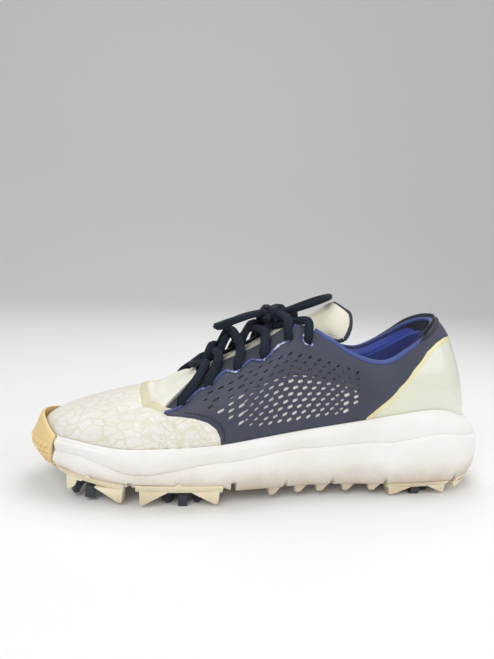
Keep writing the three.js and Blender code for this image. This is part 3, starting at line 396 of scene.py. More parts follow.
def strip_mesh(path, width, thick, up=(0, 0, 1), sides=20, ribs=0, rib_depth=0.0, taper=0.0):
    """Points and faces of a flat oval section swept along a path.

    up is the way its flat side faces, ribs run along it, and taper is what it loses at its far end."""
    path = np.asarray(path, float)
    ahead = np.gradient(path, axis=0)
    ahead /= np.linalg.norm(ahead, axis=1, keepdims=True)
    across = np.cross(ahead, np.broadcast_to(np.asarray(up, float), path.shape))
    length = np.linalg.norm(across, axis=1, keepdims=True)
    across = across / np.where(length < 0.2, 1, length)
    for i in range(1, len(path)):
        if length[i, 0] < STEEP:
            across[i] = across[i - 1] - ahead[i] * across[i - 1].dot(ahead[i])
            across[i] /= np.linalg.norm(across[i])
    for i in range(len(path) - 2, -1, -1):
        if length[i, 0] < STEEP and np.dot(across[i], across[i + 1]) < 0:
            across[i] = -across[i]
    for _ in range(6):
        across[1:-1] = (across[:-2] + 2 * across[1:-1] + across[2:]) / 4
        across -= ahead * np.sum(across * ahead, 1, keepdims=True)
        across /= np.linalg.norm(across, axis=1, keepdims=True)
    normal = np.cross(across, ahead)
    angle = np.linspace(0, 2 * math.pi, sides, endpoint=False)
    c, s = np.cos(angle), np.sin(angle)
    grow = 1 + rib_depth * np.cos(ribs * angle) if ribs else np.ones(sides)
    x = np.sign(c) * np.abs(c) ** FULLNESS * width / 2 * grow
    z = np.sign(s) * np.abs(s) ** FULLNESS * thick / 2 * grow
    size = 1 - taper * ramp(np.linspace(0, 1, len(path)), 0.3, 1)
    body = (path[:, None] + across[:, None] * (x * size[:, None])[..., None]
            + normal[:, None] * (z * size[:, None])[..., None])
    n = len(path)
    points = np.concatenate([body.reshape(-1, 3), path[:1], path[-1:]])
    faces = []
    for i in range(n - 1):
        for j in range(sides):
            k = (j + 1) % sides
            faces.append((i * sides + j, i * sides + k, (i + 1) * sides + k, (i + 1) * sides + j))
    for j in range(sides):
        k = (j + 1) % sides
        faces.append((n * sides, k, j))
        faces.append((n * sides + 1, (n - 1) * sides + j, (n - 1) * sides + k))
    return points, faces


def joined(parts):
    """Several (points, faces) pairs as one."""
    points, faces, base = [], [], 0
    for p, f in parts:
        points.append(p)
        faces += [tuple(i + base for i in face) for face in f]
        base += len(p)
    return np.concatenate(points), faces


def strip(name, path, finish, body=BODY_SHOE, **shape):
    return make(name, *strip_mesh(path, **shape), finish, body)


print("makers ready")

# %% [markdown]
# ## Shared effects
# A worn shoe shows the same few effects everywhere: a mottled colour, a fine grain, woven threads, dirt
# that gathers low down, and scuffs. Each is a node group with named sockets, built once, so a finish
# only says how much of each it has.

# %% Node helpers
def rgb(r, g, b):
    """A colour as a picture editor gives it, 0 to 255, as the numbers a shader wants."""
    return tuple((c / 255 / 12.92 if c / 255 <= 0.04045 else ((c / 255 + 0.055) / 1.055) ** 2.4)
                 for c in (r, g, b)) + (1.0,)


def group(name, inputs, outputs):
    """A new node group with its sockets: name, then its default, or None for a colour."""
    tree = bpy.data.node_groups.new(name, "ShaderNodeTree")
    for label, value in inputs:
        kind = "NodeSocketColor" if isinstance(value, tuple) else "NodeSocketFloat"
        socket = tree.interface.new_socket(label, in_out="INPUT", socket_type=kind)
        socket.default_value = value
    for label, kind in outputs:
        tree.interface.new_socket(label, in_out="OUTPUT", socket_type=kind)
    return tree, tree.nodes.new("NodeGroupInput"), tree.nodes.new("NodeGroupOutput")


def give(tree, socket, value):
    """An input gets a value, or a link from another node's output."""
    if isinstance(value, bpy.types.NodeSocket):
        tree.links.new(value, socket)
    else:
        socket.default_value = value


def give_all(tree, output, *values):
    """What a group gives out, in the order of its sockets."""
    for socket, value in zip(output.inputs, values):
        tree.links.new(value, socket)


def add(tree, kind, settings=None, **inputs):
    """A node with its settings; an input is named, or i0, i1 and so on."""
    node = tree.nodes.new(kind)
    for key, value in (settings or {}).items():
        setattr(node, key, value)
    for key, value in inputs.items():
        give(tree, node.inputs[int(key[1:]) if key[1:].isdigit() else key.replace("_", " ")], value)
    return node


def maths(tree, operation, a, b=0.0, clamp=False):
    return add(tree, "ShaderNodeMath", {"operation": operation, "use_clamp": clamp}, i0=a, i1=b).outputs[0]


def plus(tree, a, b):
    return maths(tree, "ADD", a, b)


def minus(tree, a, b):
    return maths(tree, "SUBTRACT", a, b)


def times(tree, a, b):
    return maths(tree, "MULTIPLY", a, b)


def mixed(tree, share, a, b):
    """Colour a where share is 0, b where it is 1."""
    node = tree.nodes.new("ShaderNodeMix")
    node.data_type = "RGBA"
    for socket, value in ((0, share), (6, a), (7, b)):
        give(tree, node.inputs[socket], value)
    return node.outputs[2]


def steps(tree, value, low, high):
    """0 below low, 1 above high, smooth between."""
    return add(tree, "ShaderNodeMapRange", {"interpolation_type": "SMOOTHSTEP"},
               i0=value, i1=low, i2=high, i3=0.0, i4=1.0).outputs[0]


WHITE = (1.0,) * 4
FLOAT = "NodeSocketFloat"
COLOUR_AND_MASK = [("Colour", "NodeSocketColor"), ("Mask", FLOAT)]


def here(tree):
    return add(tree, "ShaderNodeTexCoord").outputs["Object"]


def along(tree):
    """Where a point of the mesh is, as three numbers."""
    return add(tree, "ShaderNodeSeparateXYZ", i0=here(tree)).outputs


def noise(tree, scale, detail=3.0, roughness=0.5):
    return add(tree, "ShaderNodeTexNoise", Vector=here(tree), Scale=scale, Detail=detail,
               Roughness=roughness).outputs["Fac"]


# %% Mottle: a colour that drifts between two tints
mottle, m_in, m_out = group("Mottle", [("Colour", WHITE), ("Tint", WHITE), ("Scale", 40.0), ("Amount", 0.5)],
                            COLOUR_AND_MASK)
drift = steps(mottle, noise(mottle, m_in.outputs["Scale"], 5.0, 0.6), 0.38, 0.66)
share = times(mottle, drift, m_in.outputs["Amount"])
give_all(mottle, m_out, mixed(mottle, share, m_in.outputs["Colour"], m_in.outputs["Tint"]), drift)

# %% Low dirt: soil that thickens towards the ground
dirt, d_in, d_out = group("Low dirt", [("Colour", WHITE), ("Soil", rgb(176, 152, 118)), ("Top", 0.03),
                                       ("Amount", 0.6)], COLOUR_AND_MASK)
DIRT_WANDER = 0.022                 # metres by which the dirt's upper edge wanders
patchy = minus(dirt, noise(dirt, 38.0, 6.0, 0.65), 0.5)
wavy = plus(dirt, along(dirt)[2], times(dirt, patchy, DIRT_WANDER))
low_down = minus(dirt, 1.0, steps(dirt, maths(dirt, "DIVIDE", wavy, d_in.outputs["Top"]), 0.15, 1.0))
soil = maths(dirt, "MULTIPLY", low_down, d_in.outputs["Amount"], clamp=True)
give_all(dirt, d_out, mixed(dirt, soil, d_in.outputs["Colour"], d_in.outputs["Soil"]), soil)

# %% Grain: fine pebbles of moulded rubber or pressed hide
grain, g_in, g_out = group("Grain", [("Scale", 900.0), ("Pores", 0.4)], [("Height", FLOAT)])
cells = add(grain, "ShaderNodeTexVoronoi", Vector=here(grain), Scale=g_in.outputs["Scale"]).outputs
fine = noise(grain, times(grain, g_in.outputs["Scale"], 0.35))
give_all(grain, g_out, plus(grain, times(grain, cells["Distance"], g_in.outputs["Pores"]), fine))

# %% Weave: threads over and under, from two crossed sets of waves
weave, w_in, w_out = group("Weave", [("Threads", 900.0), ("Slant", 0.35)],
                           [("Height", FLOAT), ("Mask", FLOAT)])
WAVE = 6.28                         # one thread is one whole wave
x, y, z = along(weave)
run = plus(weave, x, times(weave, z, w_in.outputs["Slant"]))
climb = minus(weave, plus(weave, z, y), times(weave, x, w_in.outputs["Slant"]))
turns = times(weave, w_in.outputs["Threads"], WAVE)
warp, weft = [maths(weave, "SINE", times(weave, way, turns)) for way in (run, climb)]
crossed = times(weave, warp, weft)
give_all(weave, w_out, plus(weave, times(weave, crossed, 0.5), 0.5), steps(weave, crossed, -0.2, 0.6))

# %% Scuffs: pale worn places, in flecks
scuff, s_in, s_out = group("Scuffs", [("Colour", WHITE), ("Worn", WHITE), ("Scale", 120.0), ("Amount", 0.5)],
                           COLOUR_AND_MASK)
fleck = noise(scuff, s_in.outputs["Scale"], 8.0, 0.75)
limit = minus(scuff, 0.78, times(scuff, s_in.outputs["Amount"], 0.3))
worn = steps(scuff, minus(scuff, fleck, limit), 0.0, 0.07)
give_all(scuff, s_out, mixed(scuff, worn, s_in.outputs["Colour"], s_in.outputs["Worn"]), worn)
print("effects", sorted(g.name for g in bpy.data.node_groups))


# %% [markdown]
# ## Finishes
# Every finish is a Principled shader. Its steady values sit on the shader itself; only colour,
# roughness and bump come through nodes.

# %% Finish helpers
def finish(name, roughness=0.6, specular=0.5, **steady):
    """A material with its shader's steady values set, and its tree."""
    material = bpy.data.materials.new(name)
    material.use_nodes = True
    tree = material.node_tree
    shader = tree.nodes["Principled BSDF"]
    shader.inputs["Roughness"].default_value = roughness
    shader.inputs["Specular IOR Level"].default_value = specular
    for key, value in steady.items():
        shader.inputs[key.replace("_", " ")].default_value = value
    return material, tree, shader


def effect(tree, which, **values):
    """One shared effect placed in a material."""
    node = add(tree, "ShaderNodeGroup", {"node_tree": which})
    for key, value in values.items():
        give(tree, node.inputs[key], value)
    return node.outputs


def bump(tree, shader, height, strength, distance=0.0004):
    node = add(tree, "ShaderNodeBump", Strength=strength, Distance=distance, Height=height)
    tree.links.new(node.outputs["Normal"], shader.inputs["Normal"])


def colour(tree, shader, socket):
    tree.links.new(socket, shader.inputs["Base Color"])


def moulded(name, base, tint, scale, pores, depth, soil=0.0, soil_top=0.03, rough=0.6, **steady):
    """Moulded foam, rubber or plastic: mottled, grained, and dirty low down."""
    material, tree, shader = finish(name, rough, **steady)
    out = effect(tree, mottle, Colour=base, Tint=tint, Scale=30.0, Amount=0.6)["Colour"]
    if soil:
        out = effect(tree, dirt, Colour=out, Top=soil_top, Amount=soil)["Colour"]
    colour(tree, shader, out)
    bump(tree, shader, effect(tree, grain, Scale=scale, Pores=pores)["Height"], depth)
    return material


def woven(name, base, tint, threads, depth, rough=0.9, slant=0.35, **steady):
    """Cloth: a weave in height and in colour."""
    material, tree, shader = finish(name, rough, **steady)
    cloth = effect(tree, weave, Threads=threads, Slant=slant)
    out = mixed(tree, times(tree, cloth["Mask"], 0.35), base, tint)
    out = effect(tree, mottle, Colour=out, Tint=tint, Scale=55.0, Amount=0.35)["Colour"]
    colour(tree, shader, out)
    bump(tree, shader, cloth["Height"], depth)
    return material


# %% Rubber, foam and plastic
FOAM = moulded("midsole_foam", rgb(240, 238, 235), rgb(232, 228, 221), 1100.0, 0.3, 0.12, soil=0.72,
               soil_top=0.029, rough=0.62)
POD_RUBBER = moulded("clear_rubber", rgb(240, 230, 204), rgb(230, 216, 182), 900.0, 0.3, 0.1, soil=0.45,
                     soil_top=0.012, rough=0.42, Subsurface_Weight=0.25, Subsurface_Scale=0.003)
CAP_RUBBER = moulded("cap_rubber", rgb(231, 204, 145), rgb(214, 182, 118), 700.0, 0.5, 0.25, soil=0.3,
                     soil_top=0.03, rough=0.55)
CLEAT_RUBBER = moulded("cleat_rubber", rgb(44, 47, 54), rgb(62, 66, 74), 800.0, 0.5, 0.3, rough=0.5)
HARD_PLASTIC = moulded("hard_plastic", rgb(44, 48, 55), rgb(60, 64, 70), 600.0, 0.2, 0.1, rough=0.4)
AGLET_PLASTIC = moulded("aglet_plastic", rgb(20, 26, 36), rgb(34, 42, 54), 600.0, 0.2, 0.1, rough=0.22)
ARCH_PLASTIC = moulded("arch_plastic", rgb(38, 52, 118), rgb(56, 72, 140), 500.0, 0.3, 0.15, soil=0.35,
                       soil_top=0.012, rough=0.35)

# %% Cloths and boards
LINING_CLOTH = woven("lining", rgb(40, 60, 150), rgb(58, 80, 176), 560.0, 0.5, rough=0.95, Sheen_Weight=0.5,
                     Sheen_Roughness=0.6)
PIPING_CLOTH = woven("piping", rgb(58, 74, 134), rgb(84, 102, 162), 620.0, 0.4, rough=0.85, Sheen_Weight=0.3)
KNIT = woven("knit", rgb(250, 249, 244), rgb(232, 229, 220), 480.0, 0.7, rough=0.95)
SLEEVE_LINING = woven("sleeve_lining", rgb(22, 26, 44), rgb(34, 40, 66), 480.0, 0.6, rough=0.95)
TONGUE_CLOTH = woven("tongue_cloth", rgb(232, 228, 210), rgb(206, 200, 178), 430.0, 0.45, rough=0.85)
BINDING = woven("binding", rgb(44, 48, 64), rgb(62, 66, 84), 600.0, 0.5, rough=0.8)
INSOLE_CLOTH = woven("insole_cloth", rgb(36, 50, 104), rgb(50, 66, 124), 520.0, 0.5, rough=0.95)
BOARD = moulded("board", rgb(206, 200, 186), rgb(188, 180, 160), 500.0, 0.6, 0.3, rough=0.9)
STIFFENER = moulded("stiffener", rgb(186, 180, 164), rgb(166, 160, 142), 500.0, 0.4, 0.2, rough=0.85)


# %% Shell: the matte film over the quarters, with faint pale rubs
def shell_finish(name, base, tint, worn, amount):
    material, tree, shader = finish(name, 0.5, 0.4)
    out = effect(tree, mottle, Colour=base, Tint=tint, Scale=24.0, Amount=0.6)["Colour"]
    rubbed = effect(tree, scuff, Colour=out, Worn=worn, Scale=150.0, Amount=amount)
    colour(tree, shader, rubbed["Colour"])
    tree.links.new(plus(tree, 0.5, times(tree, rubbed["Mask"], 0.2)), shader.inputs["Roughness"])
    bump(tree, shader, effect(tree, grain, Scale=1300.0, Pores=0.8)["Height"], 0.16)
    return material


SHELL = shell_finish("shell", rgb(60, 64, 79), rgb(67, 72, 88), rgb(104, 110, 128), 0.14)
EYESTAY = shell_finish("eyestay", rgb(50, 53, 64), rgb(60, 63, 75), rgb(90, 94, 106), 0.3)
ROLL_HIDE = shell_finish("roll_hide", rgb(38, 41, 52), rgb(48, 52, 64), rgb(80, 84, 96), 0.2)
SCALLOP_BLUE = shell_finish("scallop_blue", rgb(62, 74, 128), rgb(84, 98, 158), rgb(198, 206, 226), 0.85)
THREAD = shell_finish("thread", rgb(40, 42, 52), rgb(56, 58, 70), rgb(84, 86, 96), 0.2)

# %% [markdown]
# The vamp carries a crackle print like old elephant hide: cream veins between pale islands, packed
# closely near the throat and stretched long towards the toe. Two scales of Voronoi edges give the
# veins; a noise bends them so no vein is straight.

# %% Vamp hide
VAMP_HIDE, tree, shader = finish("vamp_hide", 0.5, 0.45)
VEIN_BEND = 0.014                   # metres by which the noise moves a vein
FINE_FROM, FINE_TO = -0.085, -0.045  # the fine veins fade in between these two places along x
bend = add(tree, "ShaderNodeTexNoise", Vector=here(tree), Scale=55.0, Detail=2.0).outputs["Color"]
centred = add(tree, "ShaderNodeVectorMath", {"operation": "SUBTRACT"}, i0=bend,
              i1=(0.5, 0.5, 0.5)).outputs[0]
pushed = add(tree, "ShaderNodeVectorMath", {"operation": "SCALE"}, i0=centred, Scale=VEIN_BEND).outputs[0]
moved = add(tree, "ShaderNodeVectorMath", {"operation": "ADD"}, i0=here(tree), i1=pushed).outputs[0]
stretch = add(tree, "ShaderNodeMapping", Vector=moved, Rotation=(0.0, 0.25, 0.5),
              Scale=(0.7, 1.3, 1.25)).outputs[0]
vein_masks = []
for vein_scale, vein_width in ((135.0, 0.06), (270.0, 0.05)):
    cell = add(tree, "ShaderNodeTexVoronoi", {"feature": "DISTANCE_TO_EDGE"}, Vector=stretch,
               Scale=vein_scale)
    beyond = steps(tree, cell.outputs["Distance"], vein_width * 0.35, vein_width * 1.6)
    vein_masks.append(minus(tree, 1.0, beyond))
drifting_x = plus(tree, along(tree)[0], times(tree, noise(tree, 30.0), 0.04))
fine_share = plus(tree, 0.25, times(tree, steps(tree, drifting_x, FINE_FROM, FINE_TO), 0.6))
veins = maths(tree, "MAXIMUM", times(tree, vein_masks[0], 0.85), times(tree, vein_masks[1], fine_share))
island = effect(tree, mottle, Colour=rgb(234, 231, 226), Tint=rgb(224, 221, 212), Scale=45.0, Amount=0.7)
printed = mixed(tree, times(tree, veins, 0.8), island["Colour"], rgb(216, 209, 182))
rubbed = effect(tree, scuff, Colour=printed, Worn=rgb(196, 192, 182), Scale=90.0, Amount=0.18)
colour(tree, shader, rubbed["Colour"])
pebbles = effect(tree, grain, Scale=1000.0, Pores=0.4)["Height"]
bump(tree, shader, minus(tree, pebbles, times(tree, veins, 0.9)), 0.35, 0.0003)

# %% Band and padding of the throat
BAND = moulded("throat_band", rgb(214, 208, 176), rgb(200, 194, 164), 1100.0, 0.5, 0.2, rough=0.6)
PUFF_CLOTH = woven("puff_cloth", rgb(236, 234, 222), rgb(214, 210, 194), 420.0, 0.25, rough=0.8)

# %% [markdown]
# The heel panel is a clear gloss film over a pale honeycomb mesh, yellowed along its welded edge. The
# film is a clear coat on the shader, and the honeycomb is the bump and the colour under it.

# %% Heel film
HEEL_FILM, tree, shader = finish("heel_film", 0.4, 0.5, Coat_Weight=1.0, Coat_Roughness=0.08)
x, y, z = along(tree)
HONEY_PITCH = 2500.0                # waves of the mesh, in radians to the metre
run = times(tree, minus(tree, x, y), HONEY_PITCH * 0.9)
climb = times(tree, z, HONEY_PITCH * 1.5)
row_wave = times(tree, maths(tree, "SINE", run), maths(tree, "SINE", climb))
honey = plus(tree, times(tree, row_wave, 0.5), 0.5)
mesh_share = times(tree, steps(tree, honey, 0.3, 0.8), 0.4)
base = mixed(tree, mesh_share, rgb(216, 220, 203), rgb(236, 238, 226))
base = effect(tree, mottle, Colour=base, Tint=rgb(222, 222, 196), Scale=22.0, Amount=0.5)
colour(tree, shader, base["Colour"])
bump(tree, shader, honey, 0.5, 0.0003)
FILM_EDGE = moulded("film_edge", rgb(230, 224, 178), rgb(216, 208, 154), 900.0, 0.2, 0.1, rough=0.3,
                    Coat_Weight=0.5, Coat_Roughness=0.15)

# %% Lace
LACE, tree, shader = finish("lace", 0.85, 0.2, Sheen_Weight=0.06, Sheen_Roughness=0.5)
plaits = effect(tree, weave, Threads=900.0, Slant=1.0)
base = mixed(tree, times(tree, plaits["Mask"], 0.5), rgb(20, 27, 38), rgb(36, 46, 62))
base = effect(tree, mottle, Colour=base, Tint=rgb(42, 52, 70), Scale=60.0, Amount=0.4)
colour(tree, shader, base["Colour"])
bump(tree, shader, plaits["Height"], 0.5, 0.0003)
print("finishes", len(bpy.data.materials))

# %% [markdown]
# ## Lace
# The lace is flat and oval, about 5 mm wide, with ribs along it. It enters every eyelet from outside.
# The bow's two loops and the two free ends are free cords, and lie on the tongue or the strands under it.

# %% Lace sizes and the loops and ends of the bow
LACE_W, LACE_T = 5.3, 3.8
LACE_SHAPE = dict(width=LACE_W, thick=LACE_T, sides=28, ribs=9, rib_depth=0.13)
CORD_OVER = 3.0                     # middle of a free end above the last's skin
END_LIFT = 8.0                      # how much higher an end is where it leaves the knot
AGLET_LENGTH, AGLET_RADIUS = 18.0, 1.5


def length_of(path):
    return float(np.linalg.norm(np.diff(path, axis=0), axis=1).sum())


LOOP_FRONT = [(-8.8, -3, 111), (-16, -7, 109.8), (-25, -9.5, 106.6), (-32, -8, 102.8), (-36.5, 0, 100.6),
              (-32, 8, 101.4), (-25, 9.5, 104.2), (-16, 7, 108), (-8.8, 3, 110.4)]
LOOP_BACK = [(7, -3, 112.2), (14, -7.5, 115.2), (24, -10, 119.2), (33, -8, 122.6), (37.5, 0, 123.3),
             (33, 8, 121), (24, 10, 117.2), (14, 7, 113.6), (7, 2.5, 111.6)]


def end_path(s0, drift, start):
    """A free end: down the medial side from s0, drifting by so much s to the millimetre."""
    points = [start]
    for mm in (4, 13, 24, 35, 46):
        s = TURN - (s0 + drift * mm)
        points.append(skin(s, v_below_top(s, mm), CORD_OVER + END_LIFT * (1 - ramp(mm, 3, 20))))
    return [np.asarray(p, float) for p in points]


def free_lace(name, points, up):
    path = smooth_path(points)
    piece = strip(name, path, LACE, up=up, **LACE_SHAPE)
    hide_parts(name)
    return piece, path


for name, points, up in (("lace_loop_front", LOOP_FRONT, (0.35, 0, 1)),
                         ("lace_loop_back", LOOP_BACK, (-0.35, 0, 1))):
    free_lace(name, points, up)

END_STARTS = ((7.43, 0.004, (-3, 6, 114.4)), (6.87, -0.006, (3, 6, 114.6)))
for k, (s0, drift, start) in enumerate(END_STARTS, 1):
    points = end_path(s0, drift, start)
    piece, path = free_lace(f"lace_end_{k}", points, (0, 0.9, 0.6))
    axis = (points[-1] - points[-2]) / np.linalg.norm(points[-1] - points[-2])
    tip = [points[-1] + axis * d for d in np.linspace(-0.2, AGLET_LENGTH + 0.2, 24)]
    aglet = strip(f"aglet_{k}", tip, AGLET_PLASTIC, width=2 * AGLET_RADIUS, thick=2 * AGLET_RADIUS, sides=20,
                  up=(0, 0.9, 0.6), taper=0.18)
    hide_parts(f"aglet_{k}")
    print(piece.name, "is", round(length_of(path)), "mm long with an aglet of", round(AGLET_LENGTH), "mm")

# %% [markdown]
# Six pairs of eyelets stand down both sides of the throat. The first bar runs straight across; after it
# each strand comes out from under one edge, crosses its twin in the middle and goes down into the next
# eyelet on the other side. One of each pair is lifted over the other where they cross.

# %% Lacing
EYELETS = [9.36, 8.97, 8.37, 7.72, 7.15, 6.6]
EYELET_V = [0.53, 0.69, 0.785, 0.8, 0.85, 0.85]
LOFTS = [9, 14, 11, 7]              # height of each crossing over the throat's edges
BAR_S, BAR_LOFT, RIM_LOFT = 9.75, 6, 3.6
OVER, UNDER = 2.5, 2.2              # a strand's middle over the skin, and where it stops below it
KNOT = np.array([-1.0, 0, 108.5])
CROSSING = 1.7                      # half the lift of one strand over its twin


def on_side(s, side):
    return s if side < 0 else TURN - s


def eyelet_at(k, side, d):
    return skin(on_side(EYELETS[k], side), EYELET_V[k], d)


def throat_centre(s):
    return (skin(s, 1.0) + skin(TURN - s, 1.0)) / 2


def strand_middle(k):
    if k < len(LOFTS):
        return throat_centre((EYELETS[k] + EYELETS[k + 1]) / 2) + (0, 0, LOFTS[k])
    return KNOT + (1, 0, -3.5)


def down_to(k, side):
    """Over the throat's edge and into an eyelet from outside."""
    s = on_side(EYELETS[k], side)
    rim = skin(s, 1.0, 0.5)
    rim[2] = skin(s, 1.0)[2] + RIM_LOFT
    halfway = skin(s, (EYELET_V[k] + 1) / 2, OVER + 0.8)
    return [rim, halfway, eyelet_at(k, side, OVER - 0.5), eyelet_at(k, side, -UNDER)]


def strand_path(k, start_side):
    start = skin(on_side(EYELETS[k], start_side), 1.0) * (1, 0.5, 1) + (0, 0, 2.7)
    under = start + (0, start_side * 4.5, -4.0)
    lift = CROSSING * (1 if (k % 2 == 0) == (start_side < 0) else -1)
    middle = strand_middle(k) + (0, 0, lift)
    return [under, start, middle] + down_to(k + 1, -start_side)


lace_parts = []
bar_path = smooth_path(down_to(0, -1)[::-1] + [throat_centre(BAR_S) + (0, 0, BAR_LOFT)] + down_to(0, 1))


def facing(path):
    """The flat side of a strand faces away from the shoe all along it."""
    axis = np.stack([np.full(len(path), -6.0), path[:, 1], np.full(len(path), 16.0)], -1)
    return axis / np.linalg.norm(axis, axis=1, keepdims=True)


lace_parts.append(strip_mesh(bar_path, up=facing(bar_path), **LACE_SHAPE))
for k in range(len(EYELETS) - 1):
    for side in (-1, 1):
        path = smooth_path(strand_path(k, side))
        lace_parts.append(strip_mesh(path, up=facing(path), **LACE_SHAPE))
lacing = make("lace_lacing", *joined(lace_parts), LACE)
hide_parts("lace_lacing")
print("lacing has", len(lace_parts), "runs")

# %% [markdown]
# The knot is a bow's: one band wrapped round the middle, two strands crossing under it, and the folded
# roots of the loops coming out at both ends.

# %% Knot
centre = KNOT + (0, 0, 1.9)
wrap_turns = np.linspace(-0.1, 1.1, 30) * 2 * math.pi
wrap = smooth_path([centre + (1.2 * math.sin(a * 0.5), 4.6 * math.cos(a), 3.4 * math.sin(a))
                    for a in wrap_turns])
roots = []
for direction in (-1, 1):
    for side in (-1, 1):
        tip = (LOOP_FRONT if direction < 0 else LOOP_BACK)[0 if side < 0 else -1]
        roots.append([centre + (-direction * 2.5, side * 0.8, 0.6 * side),
                      centre + (direction * 3.5, side * 2.2, 0.8), np.array(tip, float)])
ties = [[centre + (4.5 * w, -6.5, -3.8), centre + (2 * w, -3.2, -0.6), centre + (-2 * w, 3.2, -0.2),
         centre + (-4.5 * w, 6.5, -3.8)] for w in (-1, 1)]
end_roots = [[centre + (x, 1.5, 2.6), np.array(start, float)]
             for x, (_, _, start) in zip((-1.8, 1.8), END_STARTS)]
knot_parts = [strip_mesh(wrap, up=(wrap - centre) * (0, 0.25, 0.25), **LACE_SHAPE)]
for run in roots + ties + end_roots:
    knot_parts.append(strip_mesh(smooth_path(run), **LACE_SHAPE))
knot = make("lace_knot", *joined(knot_parts), LACE)
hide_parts("lace_knot")
print("knot has", len(knot_parts), "runs")

# %% [markdown]
# ## Sole
# The midsole is one block of foam. Its side swells below a crease that runs the whole length, and its
# lower edge carries a groove behind the ball, small notches and a row of points along the arch. It is
# lofted from rings, finely enough to look moulded, and the grooves are cut out of it.

# %% Midsole
RIM_W = 2.6                         # width of the sole's rim
CAP_SPAN, CAP_T = 1.44, 2.2         # how far the toe cap reaches from the toe, and its recess
RING = np.linspace(0, TURN, 312, endpoint=False)


def wall(s):
    return rim_curve(s)[..., 0] - RIM_W


def sole_profile(s):
    """Side of the midsole from its underside to its rim, at stations s: (out, z) rows."""
    x = plan_curve(s)[..., 0]
    rim_z, w = rim_curve(s)[..., 1], wall(s)
    low, fold = underside(x), crease(x)
    belly = (low + fold) / 2
    return [(-8, low), (-5, low), (-3.2, low + 0.5), (-1.9, low + 1.7), (-1.1, low + 3.4),
            (-0.4, (low + 3.4 + belly) / 2), (0, belly), (-0.2, (belly + fold) / 2 - 0.6),
            (-0.9, fold - 1.7), (-1.9, fold - 0.5),
            (-2.4 - 0.1 * w, fold + 0.15), (-1.5 - 0.15 * w, fold + 0.9), (-1 - 0.2 * w, fold + 2),
            (-0.42 * w - 0.2, fold + 0.36 * (rim_z - fold) + 1),
            (-0.62 * w + 0.6, (fold + 2 + rim_z) / 2),
            (-0.8 * w + 0.55, (fold + 2 + rim_z) / 4 + rim_z / 2 - 0.5), (-0.97 * w + 0.05, rim_z - 1.9),
            (-w - 0.35, rim_z - 0.55), (-w - 1.1, rim_z - 0.02), (-w - 1.9, rim_z - 0.15)]


def stacked(levels):
    """Points and faces of rings stacked up, closed below and above by strips straight across."""
    n = len(levels[0])
    points = np.concatenate(levels)
    faces = []
    for r in range(len(levels) - 1):
        for i in range(n):
            k = (i + 1) % n
            faces.append((r * n + i, r * n + k, (r + 1) * n + k, (r + 1) * n + i))
    for base in (0, (len(levels) - 1) * n):
        for i in range(n // 2):
            a, b, c, d = base + i, base + i + 1, base + (n - i - 1) % n, base + (n - i) % n
            faces.append(tuple(dict.fromkeys((a, b, c, d))))
    return points, faces


recess = CAP_T * (np.abs(RING - HALF) < CAP_SPAN)
levels = [np.concatenate([plan(RING, out - recess), z[:, None]], -1) for out, z in sole_profile(RING)]
inner_out = -rim_curve(RING)[:, 0] + 0.3
for z in (rim_curve(RING)[:, 1] - 0.5, footbed(plan_curve(RING)[:, 0])):
    levels.append(np.concatenate([plan(RING, inner_out), z[:, None]], -1))
midsole = make("midsole_foam", *stacked(levels), FOAM, smooth=math.radians(32))


def station_at(x, side):
    """The s at which one side of the sole passes x."""
    low, high = (0.0, float(HALF)) if side < 0 else (float(TURN), float(HALF))
    for _ in range(40):
        mid = (low + high) / 2
        low, high = (mid, high) if plan_curve(mid)[0] > x else (low, mid)
    return (low + high) / 2


BOX_FACES = [(0, 1, 3, 2), (4, 6, 7, 5), (0, 4, 5, 1), (2, 3, 7, 6), (0, 2, 6, 4), (1, 5, 7, 3)]
BELOW, BESIDE = -5, 80              # clear of the sole, below it and beside it


def box_part(low, high):
    points = [(x, y, z) for x in (low[0], high[0]) for y in (low[1], high[1]) for z in (low[2], high[2])]
    return np.array(points), BOX_FACES


def side_notch(x, rise, side, deep=6):
    """A cutter for a notch in one side's lower edge."""
    s = station_at(x, side)
    p, q = plan(s), plan(s, -deep)
    y0, y1 = sorted((p[1] + side * 8, q[1]))
    return box_part((p[0] - NOTCH_W / 2, y0, BELOW), (p[0] + NOTCH_W / 2, y1, underside(x) + rise))


FLEX_X, FLEX_W, FLEX_TOP, NOTCH_W, RIB_X = -26.3, 3.4, 14, 2.4, -87
cutters = [box_part((FLEX_X - FLEX_W / 2, -BESIDE, BELOW), (FLEX_X + FLEX_W / 2, BESIDE, FLEX_TOP))]
for side in (-1, 1):
    cutters += [side_notch(x, 3.6, side) for x in (6.7, 37.5, 73, 122)]
    cutters.append(side_notch(RIB_X, 4.4, side))
for k, part in enumerate(cutters):
    tool = make(f"cutter_{k}", *part)
    carve = midsole.modifiers.new("carve", "BOOLEAN")
    carve.object, carve.operation, carve.solver = tool, "DIFFERENCE", "EXACT"
    bpy.context.view_layer.objects.active = midsole
    bpy.ops.object.modifier_apply(modifier="carve")
    bpy.data.objects.remove(tool)


TOOTH_FACES = [(3, 2, 1, 0), (4, 5, 6, 7), (0, 1, 5, 4), (1, 2, 6, 5), (2, 3, 7, 6), (3, 0, 4, 7)]
TOOTH_LONG, TOOTH_FLAT, TOOTH_WIDE, TOOTH_TIP, TOOTH_INSET = 9, 4, 5, 2.4, 3.4


